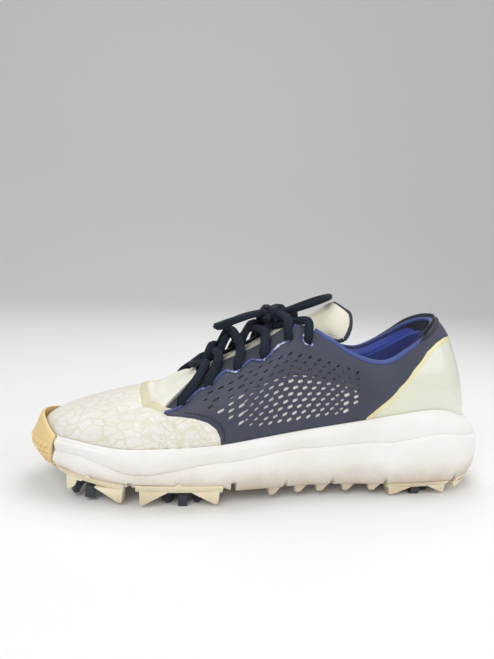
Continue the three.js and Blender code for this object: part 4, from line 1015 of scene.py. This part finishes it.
def tooth(x, side):
    """A point on the sole's lower edge: upright in front, sloping behind, set along the edge."""
    top = underside(x) + 0.8
    profile = [(0, top), (0.6, TOOTH_TIP), (TOOTH_FLAT, TOOTH_TIP), (TOOTH_LONG, top)]
    s = station_at(x, side)
    p = plan(s, -TOOTH_INSET - TOOTH_WIDE / 2)
    ahead = plan_curve(s + 0.1) - plan_curve(s - 0.1)
    turn = math.atan2(ahead[1], ahead[0]) + (math.pi if side < 0 else 0)
    points = []
    for y in (-TOOTH_WIDE / 2, TOOTH_WIDE / 2):
        for u, z in profile:
            points.append((p[0] + u * math.cos(turn) - y * math.sin(turn),
                           p[1] + u * math.sin(turn) + y * math.cos(turn), z))
    return np.array(points), TOOTH_FACES


TOOTH_X = (-3, 14, 28, 45, 62)
teeth = make("midsole_teeth", *joined([tooth(x, side) for x in TOOTH_X for side in (-1, 1)]), FOAM)
bevel = teeth.modifiers.new("soft edges", "BEVEL")
bevel.width, bevel.segments = 0.0006, 2
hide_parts("midsole")
print("midsole", len(midsole.data.polygons), "faces")

# %% Hard parts of the frame
def refinish(node, material, edge=0.0):
    """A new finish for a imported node, with its small edges eased."""
    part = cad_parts[node]
    part.data.materials.clear()
    part.data.materials.append(material)
    if edge:
        ease = part.modifiers.new("eased edges", "BEVEL")
        ease.width, ease.segments, ease.limit_method = edge, 2, "ANGLE"
        ease.angle_limit = math.radians(35)


PODS = ("tread_pod_toe", "tread_pod_ball", "tread_pod_heel", "tread_pod_heel_tip")
PLACES = ("toe_lateral", "toe_medial", "ball_lateral", "ball_medial", "heel_lateral", "heel_medial")
for node in PODS:
    refinish(node, POD_RUBBER, 0.0004)
refinish("arch_plate", ARCH_PLASTIC, 0.0003)
for spot in PLACES:
    refinish(f"receptacle_{spot}", HARD_PLASTIC)
    refinish(f"cleat_insert_{spot}", HARD_PLASTIC, 0.0003)
    refinish(f"cleat_{spot}", CLEAT_RUBBER, 0.0006)
refinish("strobel_board", BOARD)
refinish("heel_counter", STIFFENER)
refinish("toe_puff", STIFFENER)
print("hard parts refinished")

# %% [markdown]
# The toe cap is golden rubber, wrapped over the front of the midsole. Its top is smooth, and rows of
# small waves like fish scales cover its lower front. They are shaped in the mesh, so they show in
# its outline too.

# %% Toe cap
SCALE_BASE, SCALE_HIGH, SCALE_WIDE, SCALE_DEEP = 15, 3.4, 5.2, 2.1
TOE_MM_PER_S = 28
cap_s = np.linspace(HALF - CAP_SPAN + 0.012, HALF + CAP_SPAN - 0.012, 120)
S, K = np.meshgrid(cap_s, np.linspace(0, 1, 64), indexing="ij")
cap_low = underside(plan_curve(S)[..., 0]) - 0.6
cap_top = rim_curve(S)[..., 1] + 8 * (1 - ((S - HALF) / CAP_SPAN) ** 2)
cap_z = cap_low + (cap_top - cap_low) * K
tuck = 3 * (1 - ramp(K, 0, 0.3)) + 0.4 * np.maximum(cap_z - rim_curve(S)[..., 1] + 6, 0)
scale_rows = (cap_z - SCALE_BASE) / SCALE_HIGH
in_rows = (S - HALF) * TOE_MM_PER_S / SCALE_WIDE + 0.5 * (np.floor(scale_rows) % 2)
scales = np.abs(np.sin(math.pi * in_rows)) ** 0.7 * (1 - (scale_rows % 1)) ** 0.7
from_end = CAP_SPAN - np.abs(S - HALF)
rough_part = (1 - ramp(cap_z, 29, 33)) * (1 - ramp(-from_end, -0.22, -0.04))
swell = scales * SCALE_DEEP * rough_part - 1.2 * rough_part
edge_round = 0.5 * (1 - ramp(np.minimum(K, 1 - K), 0, 0.03)) + 0.4 * (1 - ramp(from_end, 0, 0.05))


def cap_surface(depth):
    """The cap's skin, sunk by a depth; its foot and its top tuck inwards."""
    return np.concatenate([plan(S, 0.2 - tuck - depth), cap_z[..., None]], -1)


toe_cap = shell("toe_cap", cap_surface(edge_round - swell), cap_surface(1.9), CAP_RUBBER)
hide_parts("toe_cap")

# %% [markdown]
# ## Upper
# Each ply is cut from the last by its outline in `s` and `v`. The vamp lies lowest; the quarters lap
# over it with a dropped, rounded edge. The quarter's lacing edge is scalloped between the eyelets and
# piped, and under it lies the plain eyestay.

# %% Outlines shared by the plies
def line(*pairs):
    """Straight lines from one (x, y) pair to the next."""
    X, Y = np.array(pairs, float).T
    return lambda x: np.interp(x, X, Y)


panel_top = line((0, 0.58), (0.7, 0.69), (1.4, 0.75), (2, 0.776), (2.5, 0.77), (3.2, 0.665), (3.83, 0.475),
                 (4.37, 0.19), (4.7, 0), (4.85, -0.6))
quarter_front = line((-1, 7.94), (0, 7.94), (0.07, 7.97), (0.16, 8.11), (0.24, 8.37), (0.3, 8.71),
                     (0.35, 9.1), (0.39, 9.44), (0.44, 9.61), (0.49, 9.67), (0.62, 9.77), (1, 9.79))


def eased(curve, reach=0.28):
    """The same line with its corners rounded off."""
    return lambda x: sum(curve(x + d) for d in np.linspace(-reach, reach, 9)) / 9


band_low = eased(line((9.3, 0.38), (9.61, 0.43), (10.29, 0.61), (11, 0.77), (11.84, 0.88),
                      (12.57, 0.923), (13, 0.935)))
band_high = eased(line((9.3, 0.44), (9.72, 0.5), (10.3, 0.7), (10.8, 0.833), (11.77, 0.943), (13, 0.985)))
TUCK_V = -0.6                       # how far the plies go down inside the rim
FRONT_V = np.array([TUCK_V, 0, 0.04, 0.07, 0.1, 0.13, 0.16, 0.2, 0.24, 0.27, 0.3, 0.33, 0.35, 0.37, 0.39,
                    0.41, 0.44])
# the quarter's piped edge, from the collar's front to the quarter's tip, dipping round each eyelet
SCALLOP = smooth_path(np.array([
    (6.95, 0.985), (7.03, 0.93), (7.08, 0.87), (7.16, 0.818), (7.35, 0.82), (7.52, 0.78), (7.7, 0.742),
    (7.88, 0.78), (8.06, 0.82), (8.22, 0.785), (8.37, 0.73), (8.52, 0.765), (8.66, 0.79), (8.8, 0.765),
    (8.88, 0.7), (8.97, 0.635), (9.1, 0.648), (9.2, 0.62), (9.27, 0.55), (9.34, 0.472), (9.46, 0.455),
    (9.64, 0.452)]) * MM_SV, 1.0) / MM_SV
LAP = 0.5                           # quarters over the vamp


def scallop_at(s, beyond=None):
    """Height of the piped edge at s; ahead of its start it is beyond."""
    return np.interp(s, SCALLOP[:, 0], SCALLOP[:, 1], left=beyond)


def quarter_outline(side):
    lower = [(s, TUCK_V) for s in np.linspace(7.94, 4.86, 40)]
    heel_edge = [(s, panel_top(s)) for s in np.linspace(4.8, 0.0, 80)]
    top_edge = [(s, v_below_top(s, 0.5)) for s in np.linspace(0, 6.9, 90)]
    front = [(quarter_front(v), v) for v in FRONT_V[::-1]]
    return mirrored(lower + heel_edge + top_edge + SCALLOP.tolist() + front[:-1], side)


def mirrored(loop, side):
    loop = np.array(loop, float)
    if side > 0:
        loop[:, 0] = TURN - loop[:, 0]
    return loop


def locate(x, z, side):
    """Station and height of the point of one side's skin at x and z."""
    return SKIN_SV[side][np.argmin((SKIN_XZ[side][:, 0] - x) ** 2 + (SKIN_XZ[side][:, 1] - z) ** 2)]


SKIN_SV, SKIN_XZ = {}, {}
for side in (-1, 1):
    S, V = np.meshgrid(np.linspace(4.5, 10.8, 420), np.linspace(0, 1, 220), indexing="ij")
    points = surface(S if side < 0 else TURN - S, V).reshape(-1, 3)
    SKIN_SV[side] = np.stack([S.ravel(), V.ravel()], -1)
    SKIN_XZ[side] = points[:, [0, 2]]

# %% [markdown]
# About ten rows of slots are punched through the quarter. The rows fan out from the front, so the slots
# are short and thin there and in the top rows, and larger in the low rows behind. Each is a real hole
# with rounded ends, slanting up to the rear.

# %% Perforations
FIELD_TOP = line((-48.7, 60.3), (-43.7, 64), (-31.9, 69.3), (-14.9, 78.3), (6.8, 89), (19.7, 87.2),
                 (28.9, 85), (39.3, 81.9), (51.1, 78.3))
FIELD_LOW = line((-48.7, 59.8), (-36.6, 56.7), (-21, 48), (-10, 47.6), (5.8, 49.5), (19.9, 51), (34, 53),
                 (41.3, 53), (48, 56.7), (52.8, 64.7))
FIELD_ROWS, SLOT_PITCH = 11, 6.1
FIELD_FROM, FIELD_TO = -47.5, 53    # where the rows of slots start and end along x
SLOT_LONG, SLOT_WIDE = 3.9, 2.35    # the largest slot
ROW_CLEAR = 2.75                    # the least distance between two rows of slots


SLOT_FULLNESS = 0.6                 # a slot's corners are fuller than a strip's


def slot_loop(s, v, long, wide, slant, points=10):
    """A rounded slot round (s, v), its size in mm."""
    a = np.linspace(0, 2 * math.pi, points, endpoint=False)
    x = np.sign(np.cos(a)) * np.abs(np.cos(a)) ** SLOT_FULLNESS * long / 2
    y = np.sign(np.sin(a)) * np.abs(np.sin(a)) ** SLOT_FULLNESS * wide / 2
    u, w = x * math.cos(slant) - y * math.sin(slant), x * math.sin(slant) + y * math.cos(slant)
    side_mm = float(side_length(np.array(float(s))))
    ahead = np.linalg.norm(surface(s + 0.05, v) - surface(s - 0.05, v)) * 10
    return np.stack([s - u / ahead, v + w / side_mm], -1)


def perforations(side):
    """The slots of one side: where two rows would come too near each other, one of them is left out."""
    loops = []
    for r in range(FIELD_ROWS):
        share = r / (FIELD_ROWS - 1)
        for x in np.arange(FIELD_FROM + (r % 2) * SLOT_PITCH / 2, FIELD_TO, SLOT_PITCH):
            top, low = FIELD_TOP(x), FIELD_LOW(x)
            gap = (top - low) / (FIELD_ROWS - 1)
            every = 1 if gap >= ROW_CLEAR else 2 if gap * 2 >= ROW_CLEAR else 5
            if r % every or gap * every < ROW_CLEAR * 0.75:
                continue
            s, v = locate(x, top + (low - top) * share, side)
            if s > quarter_front(v) - 0.14 or v > scallop_at(s, beyond=2) - 0.05:
                continue
            size = 0.66 + 0.34 * min(share * 1.8, 1)
            wide = min(SLOT_WIDE, gap * every * 0.56) * size
            long = min(SLOT_LONG, gap * every * 0.92) * (0.85 + 0.15 * size)
            slant = math.radians(24 + 30 * max(0.0, 1 - share * 5) * float(ramp(x, -10, 20)))
            loops.append(mirrored(slot_loop(s, v, long, wide, slant), side))
    return loops


def eyelet_loop(k, side, radius):
    return mirrored(slot_loop(EYELETS[k], EYELET_V[k], 2 * radius, 2 * radius, 0, 16), side)


SIDE_NAMES = {-1: "lateral", 1: "medial"}
for side, label in SIDE_NAMES.items():
    holes = perforations(side) + [eyelet_loop(5, side, 2.9)]
    quarter = patch(f"quarter_{label}", quarter_outline(side), SHELL, holes, lift=lambda s, v: LAP, thick=0.8,
                    spacing=2.4)
    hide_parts(f"quarter_{label}")
    print(quarter.name, "has", len(holes), "holes and", len(quarter.data.polygons), "faces")

# %% Stitches along the quarter's front edge
def stitches(name, line_sv, side, lift, pitch=2.6):
    path = smooth_path([skin(on_side(s, side), v, lift) for s, v in line_sv], pitch)
    runs = [strip_mesh(np.linspace(a, a + (b - a) * 0.68, 5), width=0.75, thick=0.6, sides=8,
                       up=(0, side, 0.4)) for a, b in zip(path[:-1], path[1:])]
    thread = make(name, *joined(runs), THREAD)


seam = [(quarter_front(v) - 0.07, v + 0.035) for v in np.linspace(0, 0.36, 20)]
for side, label in SIDE_NAMES.items():
    stitches(f"stitches_{label}", seam, side, LAP + 0.15)

# %% Eyestays under the scalloped edge, and the piping on it
for side, label in SIDE_NAMES.items():
    upper = [(s, v_below_top(s, 0.4)) for s in np.linspace(7.0, 9.77, 80)]
    front = [(9.79, 0.9), (9.78, 0.75), (9.75, 0.6), (9.68, 0.46)]
    lower = [(s, scallop_at(s) - 0.06) for s in np.linspace(9.62, 7.04, 80)]
    stay = patch(f"eyestay_{label}", mirrored(upper + front + lower, side), EYESTAY,
                 [eyelet_loop(k, side, 2.4) for k in range(5)], lift=lambda s, v: -0.3, thick=1.5,
                 spacing=2.2)
    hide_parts(f"eyestay_{label}")
    edge = [skin(on_side(s, side), v, 0.65) for s, v in SCALLOP]
    piping = strip(f"scallop_piping_{label}", smooth_path(edge[::2]), SCALLOP_BLUE, width=1.6, thick=1.5,
                   sides=12)
    loop = slot_loop(EYELETS[5], EYELET_V[5], 6.6, 6.6, 0, 28)
    ring = [skin(on_side(s, side), v, 0.6) for s, v in np.concatenate([loop, loop[:2]])]
    eyelet = strip(f"eyelet_ring_{label}", ring, SCALLOP_BLUE, width=1.3, thick=1.1, sides=10)
print("eyestays done")

# %% [markdown]
# A white ply lies straight under the slots of the lower rows, so they show white; the slots above and
# ahead of it open into the dark of the shoe.

# %% Ply under the slots
UNDERLAY = [(-36, 49), (-24, 43), (0, 43), (30, 47), (52, 52), (56, 60), (51, 67), (38, 72.5), (20, 76),
            (2, 75), (-12, 70), (-28, 64), (-38, 57)]      # its outline in x and z
for side, label in SIDE_NAMES.items():
    loop = np.array([locate(x, z, side) for x, z in UNDERLAY])
    under = patch(f"perforation_underlay_{label}", mirrored(loop, side), KNIT, lift=lambda s, v: -0.36,
                  thick=0.8, spacing=3.0, rolled=False)

# %% [markdown]
# The vamp is soft hide. It creases where the toes bend, just ahead of the quarter's tip, so its surface
# is lifted and sunk there by a few shallow folds that fade out before they reach another ply.

# %% Vamp
BEND_X, BEND_REACH = -62, 14        # where the toes bend, and how far the creases go from there


def vamp_folds(s, v):
    x, y, z = np.moveaxis(surface(s, v), -1, 0)
    near = np.exp(-((x - BEND_X) / BEND_REACH) ** 2) * ramp(np.abs(y), 12, 30)
    wave = np.sin((x * 0.85 + z * 0.55 + 2 * np.sin(z * 0.21)) * 0.9) + 0.5 * np.sin(x * 1.9 - z * 0.8)
    broad = np.sin(x * 0.09 + 1.2) * np.cos(y * 0.08) * 0.5
    bare = (ramp(from_heel(s) - quarter_front(v), 0.05, 0.4)
            * (1 - ramp(v - band_low(from_heel(s)), -0.1, -0.02)))
    return bare * (0.62 * near * wave + 0.35 * broad * ramp(v, 0.05, 0.3))


vamp_front = [(quarter_front(v) - 0.3, v) for v in FRONT_V if v < 0.36]
vamp_loop = ([(s, TUCK_V) for s in np.linspace(TURN - 7.64, 7.64, 120)] + vamp_front
             + [(s, band_low(from_heel(s)) + 0.03) for s in np.linspace(9.1, TURN - 9.1, 110)]
             + [(TURN - s, v) for s, v in vamp_front[::-1]])
vamp = patch("vamp", vamp_loop, VAMP_HIDE, lift=vamp_folds, thick=1.2, spacing=2.2)
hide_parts("vamp")
print("vamp", len(vamp.data.polygons), "faces")

# %% [markdown]
# A pale band closes the vamp's top edge. Between it and the throat a soft pad puffs up, highest halfway,
# and the same cloth goes on across the front of the throat, under the first bar of the lace.

# %% Band, pad and filler of the throat
BAND_FROM, PAD_FROM = 9.34, 9.8     # s at which the band and the pad begin
band_loop = ([(s, band_low(from_heel(s))) for s in np.linspace(BAND_FROM, TURN - BAND_FROM, 110)]
             + [(s, band_high(from_heel(s)) + 0.015) for s in np.linspace(TURN - BAND_FROM, BAND_FROM, 110)])
band = patch("throat_band", band_loop, BAND, thick=1.0, spacing=1.8,
             lift=lambda s, v: 0.15 + 0.35 * ramp(from_heel(s), 9.65, 10.1))
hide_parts("throat_band")


def puff_height(s, v):
    """Height of the pad over the skin, lower where the pad is narrow."""
    low = band_high(from_heel(s))
    across = np.clip((v - low) / np.maximum(1 - low, 0.01), 0, 1)
    return 0.1 + 1.7 * np.sin(math.pi * across) ** 0.7 * np.minimum(1, (1 - low) * 9)


puff_loop = ([(s, band_high(from_heel(s)) - 0.01) for s in np.linspace(PAD_FROM, TURN - PAD_FROM, 110)]
             + [(TURN - PAD_FROM, v) for v in (0.6, 0.75, 0.9)]
             + [(s, 1.01) for s in np.linspace(TURN - PAD_FROM, PAD_FROM, 110)]
             + [(PAD_FROM, v) for v in (0.9, 0.75, 0.6)])
throat_pad = patch("throat_pad", puff_loop, PUFF_CLOTH, lift=puff_height, thick=2.2, spacing=1.8)
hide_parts("throat_pad")

FILLER_T, FILLER_DEPTH = 1.3, 0.7
fill_s = np.linspace(9.66, 12.96, 60)
fill_w = np.linspace(-1, 1, 41)
left, right = skin(fill_s, 1.0, -FILLER_DEPTH), skin(TURN - fill_s, 1.0, -FILLER_DEPTH)
middle, half = (left + right)[:, None] / 2, (right - left)[:, None] / 2
domed = middle + half * np.sin(fill_w * math.pi / 2)[:, None]
height = (0.4 + 2.4 * ramp(fill_s, 12.9, 11.2))[:, None] * (1 - np.abs(fill_w) ** 2.4) - 0.3
fold = 0.3 * np.exp(-((fill_s - 10.5) / 0.35) ** 2)[:, None] * (1 - fill_w**2)
domed[..., 2] += height - fold
filler = shell("throat_filler", domed, domed - (0, 0, FILLER_T), PUFF_CLOTH)

# %% Heel panel and its welded edge
WELT_OUT, WELT_IN = 0.8, 3.0        # the welded edge's width above and below the panel's top
panel_loop = ([(s, TUCK_V) for s in np.linspace(-4.83, 4.83, 90)]
              + [(s, panel_top(abs(s)) + 0.012) for s in np.linspace(4.8, -4.8, 160)])
panel = patch("heel_panel", panel_loop, HEEL_FILM, lift=lambda s, v: 0.1, thick=1.4, spacing=2.4)
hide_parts("heel_panel")
welt_s = np.linspace(-4.78, 4.78, 180)
welt_v = np.array([panel_top(abs(s)) for s in welt_s])
welt_mm = np.stack([welt_s, welt_v], -1) * MM_SV
ahead = np.gradient(welt_mm, axis=0)
across = np.stack([ahead[:, 1], -ahead[:, 0]], -1) / np.linalg.norm(ahead, axis=1)[:, None]
welt_edges = [welt_mm - across * WELT_OUT, (welt_mm + across * WELT_IN)[::-1]]
welt_loop = np.concatenate(welt_edges) / MM_SV
welt = patch("heel_panel_welt", welt_loop, FILM_EDGE, lift=lambda s, v: 0.65, thick=0.9, spacing=1.6)

# %% [markdown]
# ## Inside and collar
# The sleeve is a knit sock: white outside, where it shows through the slots, dark inside. The collar is
# foam under cloth, thickest at the heel, where a smooth hide roll covers its piping and reaches inside.

# %% Sleeve
DEPTH_SLEEVE = 3.5
sleeve_s = np.linspace(0, TURN, 208, endpoint=False)
sleeve_v = np.array([-0.8, -0.3, 0, 0.1, 0.2, 0.3, 0.4, 0.5, 0.6, 0.7, 0.8, 0.88, 0.95, 0.99])
S, V = np.meshgrid(sleeve_s, sleeve_v, indexing="ij")
sleeve = shell("inner_sleeve", skin(S, V, -DEPTH_SLEEVE), skin(S, V, -DEPTH_SLEEVE - 1), KNIT, closed=True)
sleeve.data.materials.append(SLEEVE_LINING)
inner_start = S.size
for face in sleeve.data.polygons:
    if min(face.vertices) >= inner_start:
        face.material_index = 1
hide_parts("inner_sleeve")

# %% Collar lining, foam and roll
PAD_T, DEPTH_FOAM, LINING_GAP, LINING_T = 5.0, 4.9, 0.9, 0.8
LINING_SPAN, ROLL_SPAN, PIPING_SPAN = 6.2, 5.7, 6.35        # how far each goes from the heel, in s


def pad(s, v):
    """Thickness of the collar's foam."""
    return PAD_T * (1 - ramp(from_heel(s), 3.6, 6.4)) * ramp(v, 0.12, 0.5) * (1 - 0.35 * ramp(v, 0.85, 1))


def lining_depth(s, v):
    """How deep under the skin the lining's face lies on the foam."""
    return DEPTH_FOAM + pad(s, v) + LINING_GAP


def refine(column, per):
    """A smooth curve through a column of points, with so many steps between two of them."""
    P = np.concatenate([[2 * column[0] - column[1]], column, [2 * column[-1] - column[-2]]])
    out = []
    for i in range(1, len(P) - 2):
        a, b, c, d = P[i - 1: i + 3]
        for t in np.linspace(0, 1, per, endpoint=False):
            out.append((2 * t**3 - 3 * t**2 + 1) * b + (t**3 - 2 * t**2 + t) * (c - a) / 2
                       + (3 * t**2 - 2 * t**3) * c + (t**3 - t**2) * (d - b) / 2)
    out.append(P[-2])
    return out


# v, depth under the skin or None where it lies on the foam, rise
LINING_EDGE = [(0.97, 1.6, 0.4), (1.0, 2.0, 1.0), (1.0, 3.6, 2.0), (1.0, 5.4, 2.0), (0.99, None, 1.2)]
LINING_V = (0.96, 0.9, 0.82, 0.72, 0.6, 0.48, 0.36, 0.24, 0.12, 0.0, TUCK_V)


def lining_grid(s, outward):
    """The lining's face: over the top edge, then down inside."""
    rows = []
    for v, depth, rise in LINING_EDGE + [(v, None, 0) for v in LINING_V]:
        inward = lining_depth(s, v) if depth is None else depth
        rows.append(skin(s, v, outward - inward) + (0, 0, rise))
    return np.stack([np.array(refine(column, 3)) for column in np.stack(rows, 1)])


lining_s = np.linspace(-LINING_SPAN, LINING_SPAN, 161)
lining = shell("collar_lining", lining_grid(lining_s, 0.0), lining_grid(lining_s, LINING_T), LINING_CLOTH)
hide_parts("collar_lining", "collar_foam")


ROLL_SILL, ROLL_NARROW = 1.7, 4.6   # depth at which the roll starts, and to which it goes along the sides
ROLL_OUTSIDE = ((0.93, 0.15), (0.955, 0.9), (0.985, 1.5))   # v and height of its part over the piping
ROLL_TOP = ((0.0, 0.1), (0.1, 0.6), (0.24, 0.88), (0.42, 1.0), (0.66, 0.95), (0.88, 0.7), (1.0, 0.3))


def roll_grid(s, proud):
    """The roll over the collar's edge: narrow along the sides. At the heel it covers the piping, stands
    up, and reaches down inside."""
    heel = 1 - ramp(np.abs(s), 1.6, 4.2)
    cover = (1 - ramp(np.abs(s), 2.1, 2.9))[:, None]
    top = np.ones(s.shape)
    back = 1 - ramp(np.abs(s), 0.4, 2.6)
    full = ROLL_NARROW + (lining_depth(s, top) - ROLL_NARROW) * back
    start = skin(s, top, -ROLL_SILL)
    columns = [start + (skin(s, v, out + proud) - start) * cover for v, out in ROLL_OUTSIDE]
    for share, up in ROLL_TOP:
        column = skin(s, top, -(ROLL_SILL + (full - ROLL_SILL) * share))
        height = up + 0.45 * (1 - share) * cover[:, 0] * (1 - up)
        column[:, 2] += height * (2.3 + 4.3 * heel) + proud * min(up * 2, 1)
        columns.append(column)
    for share in (0.35, 0.7, 1.0):
        v = 1 - (0.012 + 0.14 * back) * share
        columns.append(skin(s, v, -(np.minimum(lining_depth(s, v), full + 0.2) + proud)))
    return np.stack([np.array(refine(list(column), 4)) for column in np.stack(columns, 1)])


roll_s = np.linspace(-ROLL_SPAN, ROLL_SPAN, 200)
roll = shell("heel_roll", roll_grid(roll_s, 0.8), roll_grid(roll_s, 0.1), ROLL_HIDE)
piping_s = np.linspace(-PIPING_SPAN, PIPING_SPAN, 160)
edge = skin(piping_s, 1.0, -1.2)
rise_dir = skin(piping_s, 1.0) - skin(piping_s, 0.94)
rise_dir /= np.linalg.norm(rise_dir, axis=1, keepdims=True)
piping = strip("collar_piping", edge + rise_dir * 1.3, PIPING_CLOTH, width=3.6, thick=3.0, sides=16,
               up=skin_normal(piping_s, np.full(piping_s.shape, 0.97)))
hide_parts("collar_piping")
print("collar done")

# %% Insole
INSOLE_INSET = 7.7                  # from the sole's rim: the sleeve, the foam's foot and a gap
BOARD_T, BOARD_GAP = 1.5, 0.3
insole_s = RING[::2]
base_z = footbed(plan_curve(insole_s)[:, 0]) + BOARD_T + 2 * BOARD_GAP


def insole_ring(out, z):
    flat = plan(insole_s, -rim_curve(insole_s)[:, 0] - INSOLE_INSET + out)
    return np.concatenate([flat, (base_z + z)[:, None]], -1)


INSOLE_RINGS = ((0, 0), (0, 2.5), (0, 4.2), (-0.8, 4.9), (-2.5, 4.6), (-6, 4.2))
insole = make("insole", *stacked([insole_ring(out, z) for out, z in INSOLE_RINGS]), INSOLE_CLOTH)
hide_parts("insole")

# %% [markdown]
# ## Tongue
# The tongue is padded cloth, stitched at its base and bound round its free edge. It turns with the
# tongue's body. It is built as a puffed form between the face and the back, fullest in the middle.

# %% Tongue
TONGUE_S = [10.75, 10.1, 9.4, 8.7, 8, 7.35]
TONGUE_DEPTH, PER_ROW = 6.0, 5
# the free part, row by row: x and z of the middle, then x, y and z of the edge
TONGUE_FREE = [(23, 108, 31, 13.5, 95), (32, 113.5, 43.5, 16.3, 96), (38.7, 117.5, 49.8, 14.2, 105),
               (42, 119.5, 50.4, 8.7, 114)]
tongue_rows = []
for s in TONGUE_S:
    reach = 14 + 12 * float(ramp(s, 10.8, 9))
    lateral = [skin(s, v_below_top(s, mm), -TONGUE_DEPTH) for mm in (reach, reach / 2, 0.5)]
    medial = [skin(TURN - s, v_below_top(s, mm), -TONGUE_DEPTH) for mm in (0.5, reach / 2, reach)]
    crown = (lateral[2] + medial[0]) / 2 + (-0.6, 0, 2.2)
    tongue_rows.append(lateral + [crown] + medial)
for cx, cz, ex, ey, ez in TONGUE_FREE:
    row = []
    for u in np.linspace(-1, 1, 7):
        w = abs(u) ** 1.8
        row.append(np.array([cx + (ex - cx) * w, ey * math.sin(u * math.pi / 2), cz + (ez - cz) * w]))
    tongue_rows.append(row)
fine = np.stack([np.array(refine(row, PER_ROW)) for row in np.array(tongue_rows)])
fine = np.stack([np.array(refine(column, PER_ROW)) for column in fine.swapaxes(0, 1)], 1)
normals = np.cross(np.gradient(fine, axis=0), np.gradient(fine, axis=1))
normals /= np.linalg.norm(normals, axis=-1, keepdims=True)
u = np.linspace(0, 1, fine.shape[0])[:, None]
w = np.linspace(-1, 1, fine.shape[1])[None, :]
rounding = (1 - np.abs(w) ** 4) * ramp(u, 0, 0.06) * (1 - ramp(u, 0.95, 1.0))
face_points = fine + normals * (1.3 * rounding)[..., None]
back_points = fine - normals * (2.8 + 2.8 * rounding)[..., None]
mid_points = fine - normals * 2.6
tongue_face = shell("tongue_face", face_points, mid_points, TONGUE_CLOTH, BODY_TONGUE)
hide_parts("tongue_face", "tongue_foam")
tongue_lining = shell("tongue_lining", mid_points - normals * 0.2, back_points, LINING_CLOTH, BODY_TONGUE)
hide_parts("tongue_lining")

# the binding follows the free edge, from just behind the last row that lies under the throat
first = PER_ROW * (len(TONGUE_S) - 1) + 2
rim = (face_points + back_points) / 2
ring_path = np.concatenate([rim[first:, 0], rim[-1, 1:], rim[first:-1, -1][::-1]])
binding = strip("tongue_binding", smooth_path(ring_path[::3]), BINDING, BODY_TONGUE, width=4.6, thick=3.4,
                sides=16, up=(0.5, 0, 0.85))
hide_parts("tongue_binding")
print("tongue", fine.shape)

# %% [markdown]
# ## Floor and light
# A plain pale floor and wide soft lights, as in a small studio.

# %% Stage
BEND = [(1.2 + math.sin(a), 1.0 - math.cos(a)) for a in np.linspace(0, math.pi / 2, 24)]
SWEEP = [(-2.2, 0)] + BEND + [(2.2, 4)]      # the floor runs back and bends up into a wall
floor_mesh = bpy.data.meshes.new("floor")
floor_mesh.from_pydata([(x, y, z) for y, z in SWEEP for x in (-4, 4)], [],
                       [(2 * i, 2 * i + 1, 2 * i + 3, 2 * i + 2) for i in range(len(SWEEP) - 1)])
floor_mesh.shade_smooth()
floor = bpy.data.objects.new("floor", floor_mesh)
bpy.context.scene.collection.objects.link(floor)
floor_finish, tree, shader = finish("floor_finish", 0.9, 0.2)
shader.inputs["Base Color"].default_value = (0.86, 0.86, 0.86, 1)
floor.data.materials.append(floor_finish)

world = bpy.data.worlds.new("studio")
world.use_nodes = True
world.node_tree.nodes["Background"].inputs["Color"].default_value = (1, 1, 1, 1)
world.node_tree.nodes["Background"].inputs["Strength"].default_value = 0.52
bpy.context.scene.world = world


def light(name, where, look_at, size, power):
    data = bpy.data.lights.new(name, "AREA")
    data.shape, data.size, data.energy = "DISK", size, power
    lamp = bpy.data.objects.new(name, data)
    bpy.context.scene.collection.objects.link(lamp)
    lamp.location = where
    lamp.rotation_euler = (Vector(look_at) - Vector(where)).to_track_quat("-Z", "Y").to_euler()


light("key", (-0.45, -0.75, 0.85), (0, 0, 0.05), 0.7, 5)
light("fill", (0.7, -0.5, 0.5), (0, 0, 0.05), 0.8, 2.2)
light("top", (0.1, 0.3, 1.0), (0, 0, 0.05), 0.8, 4)
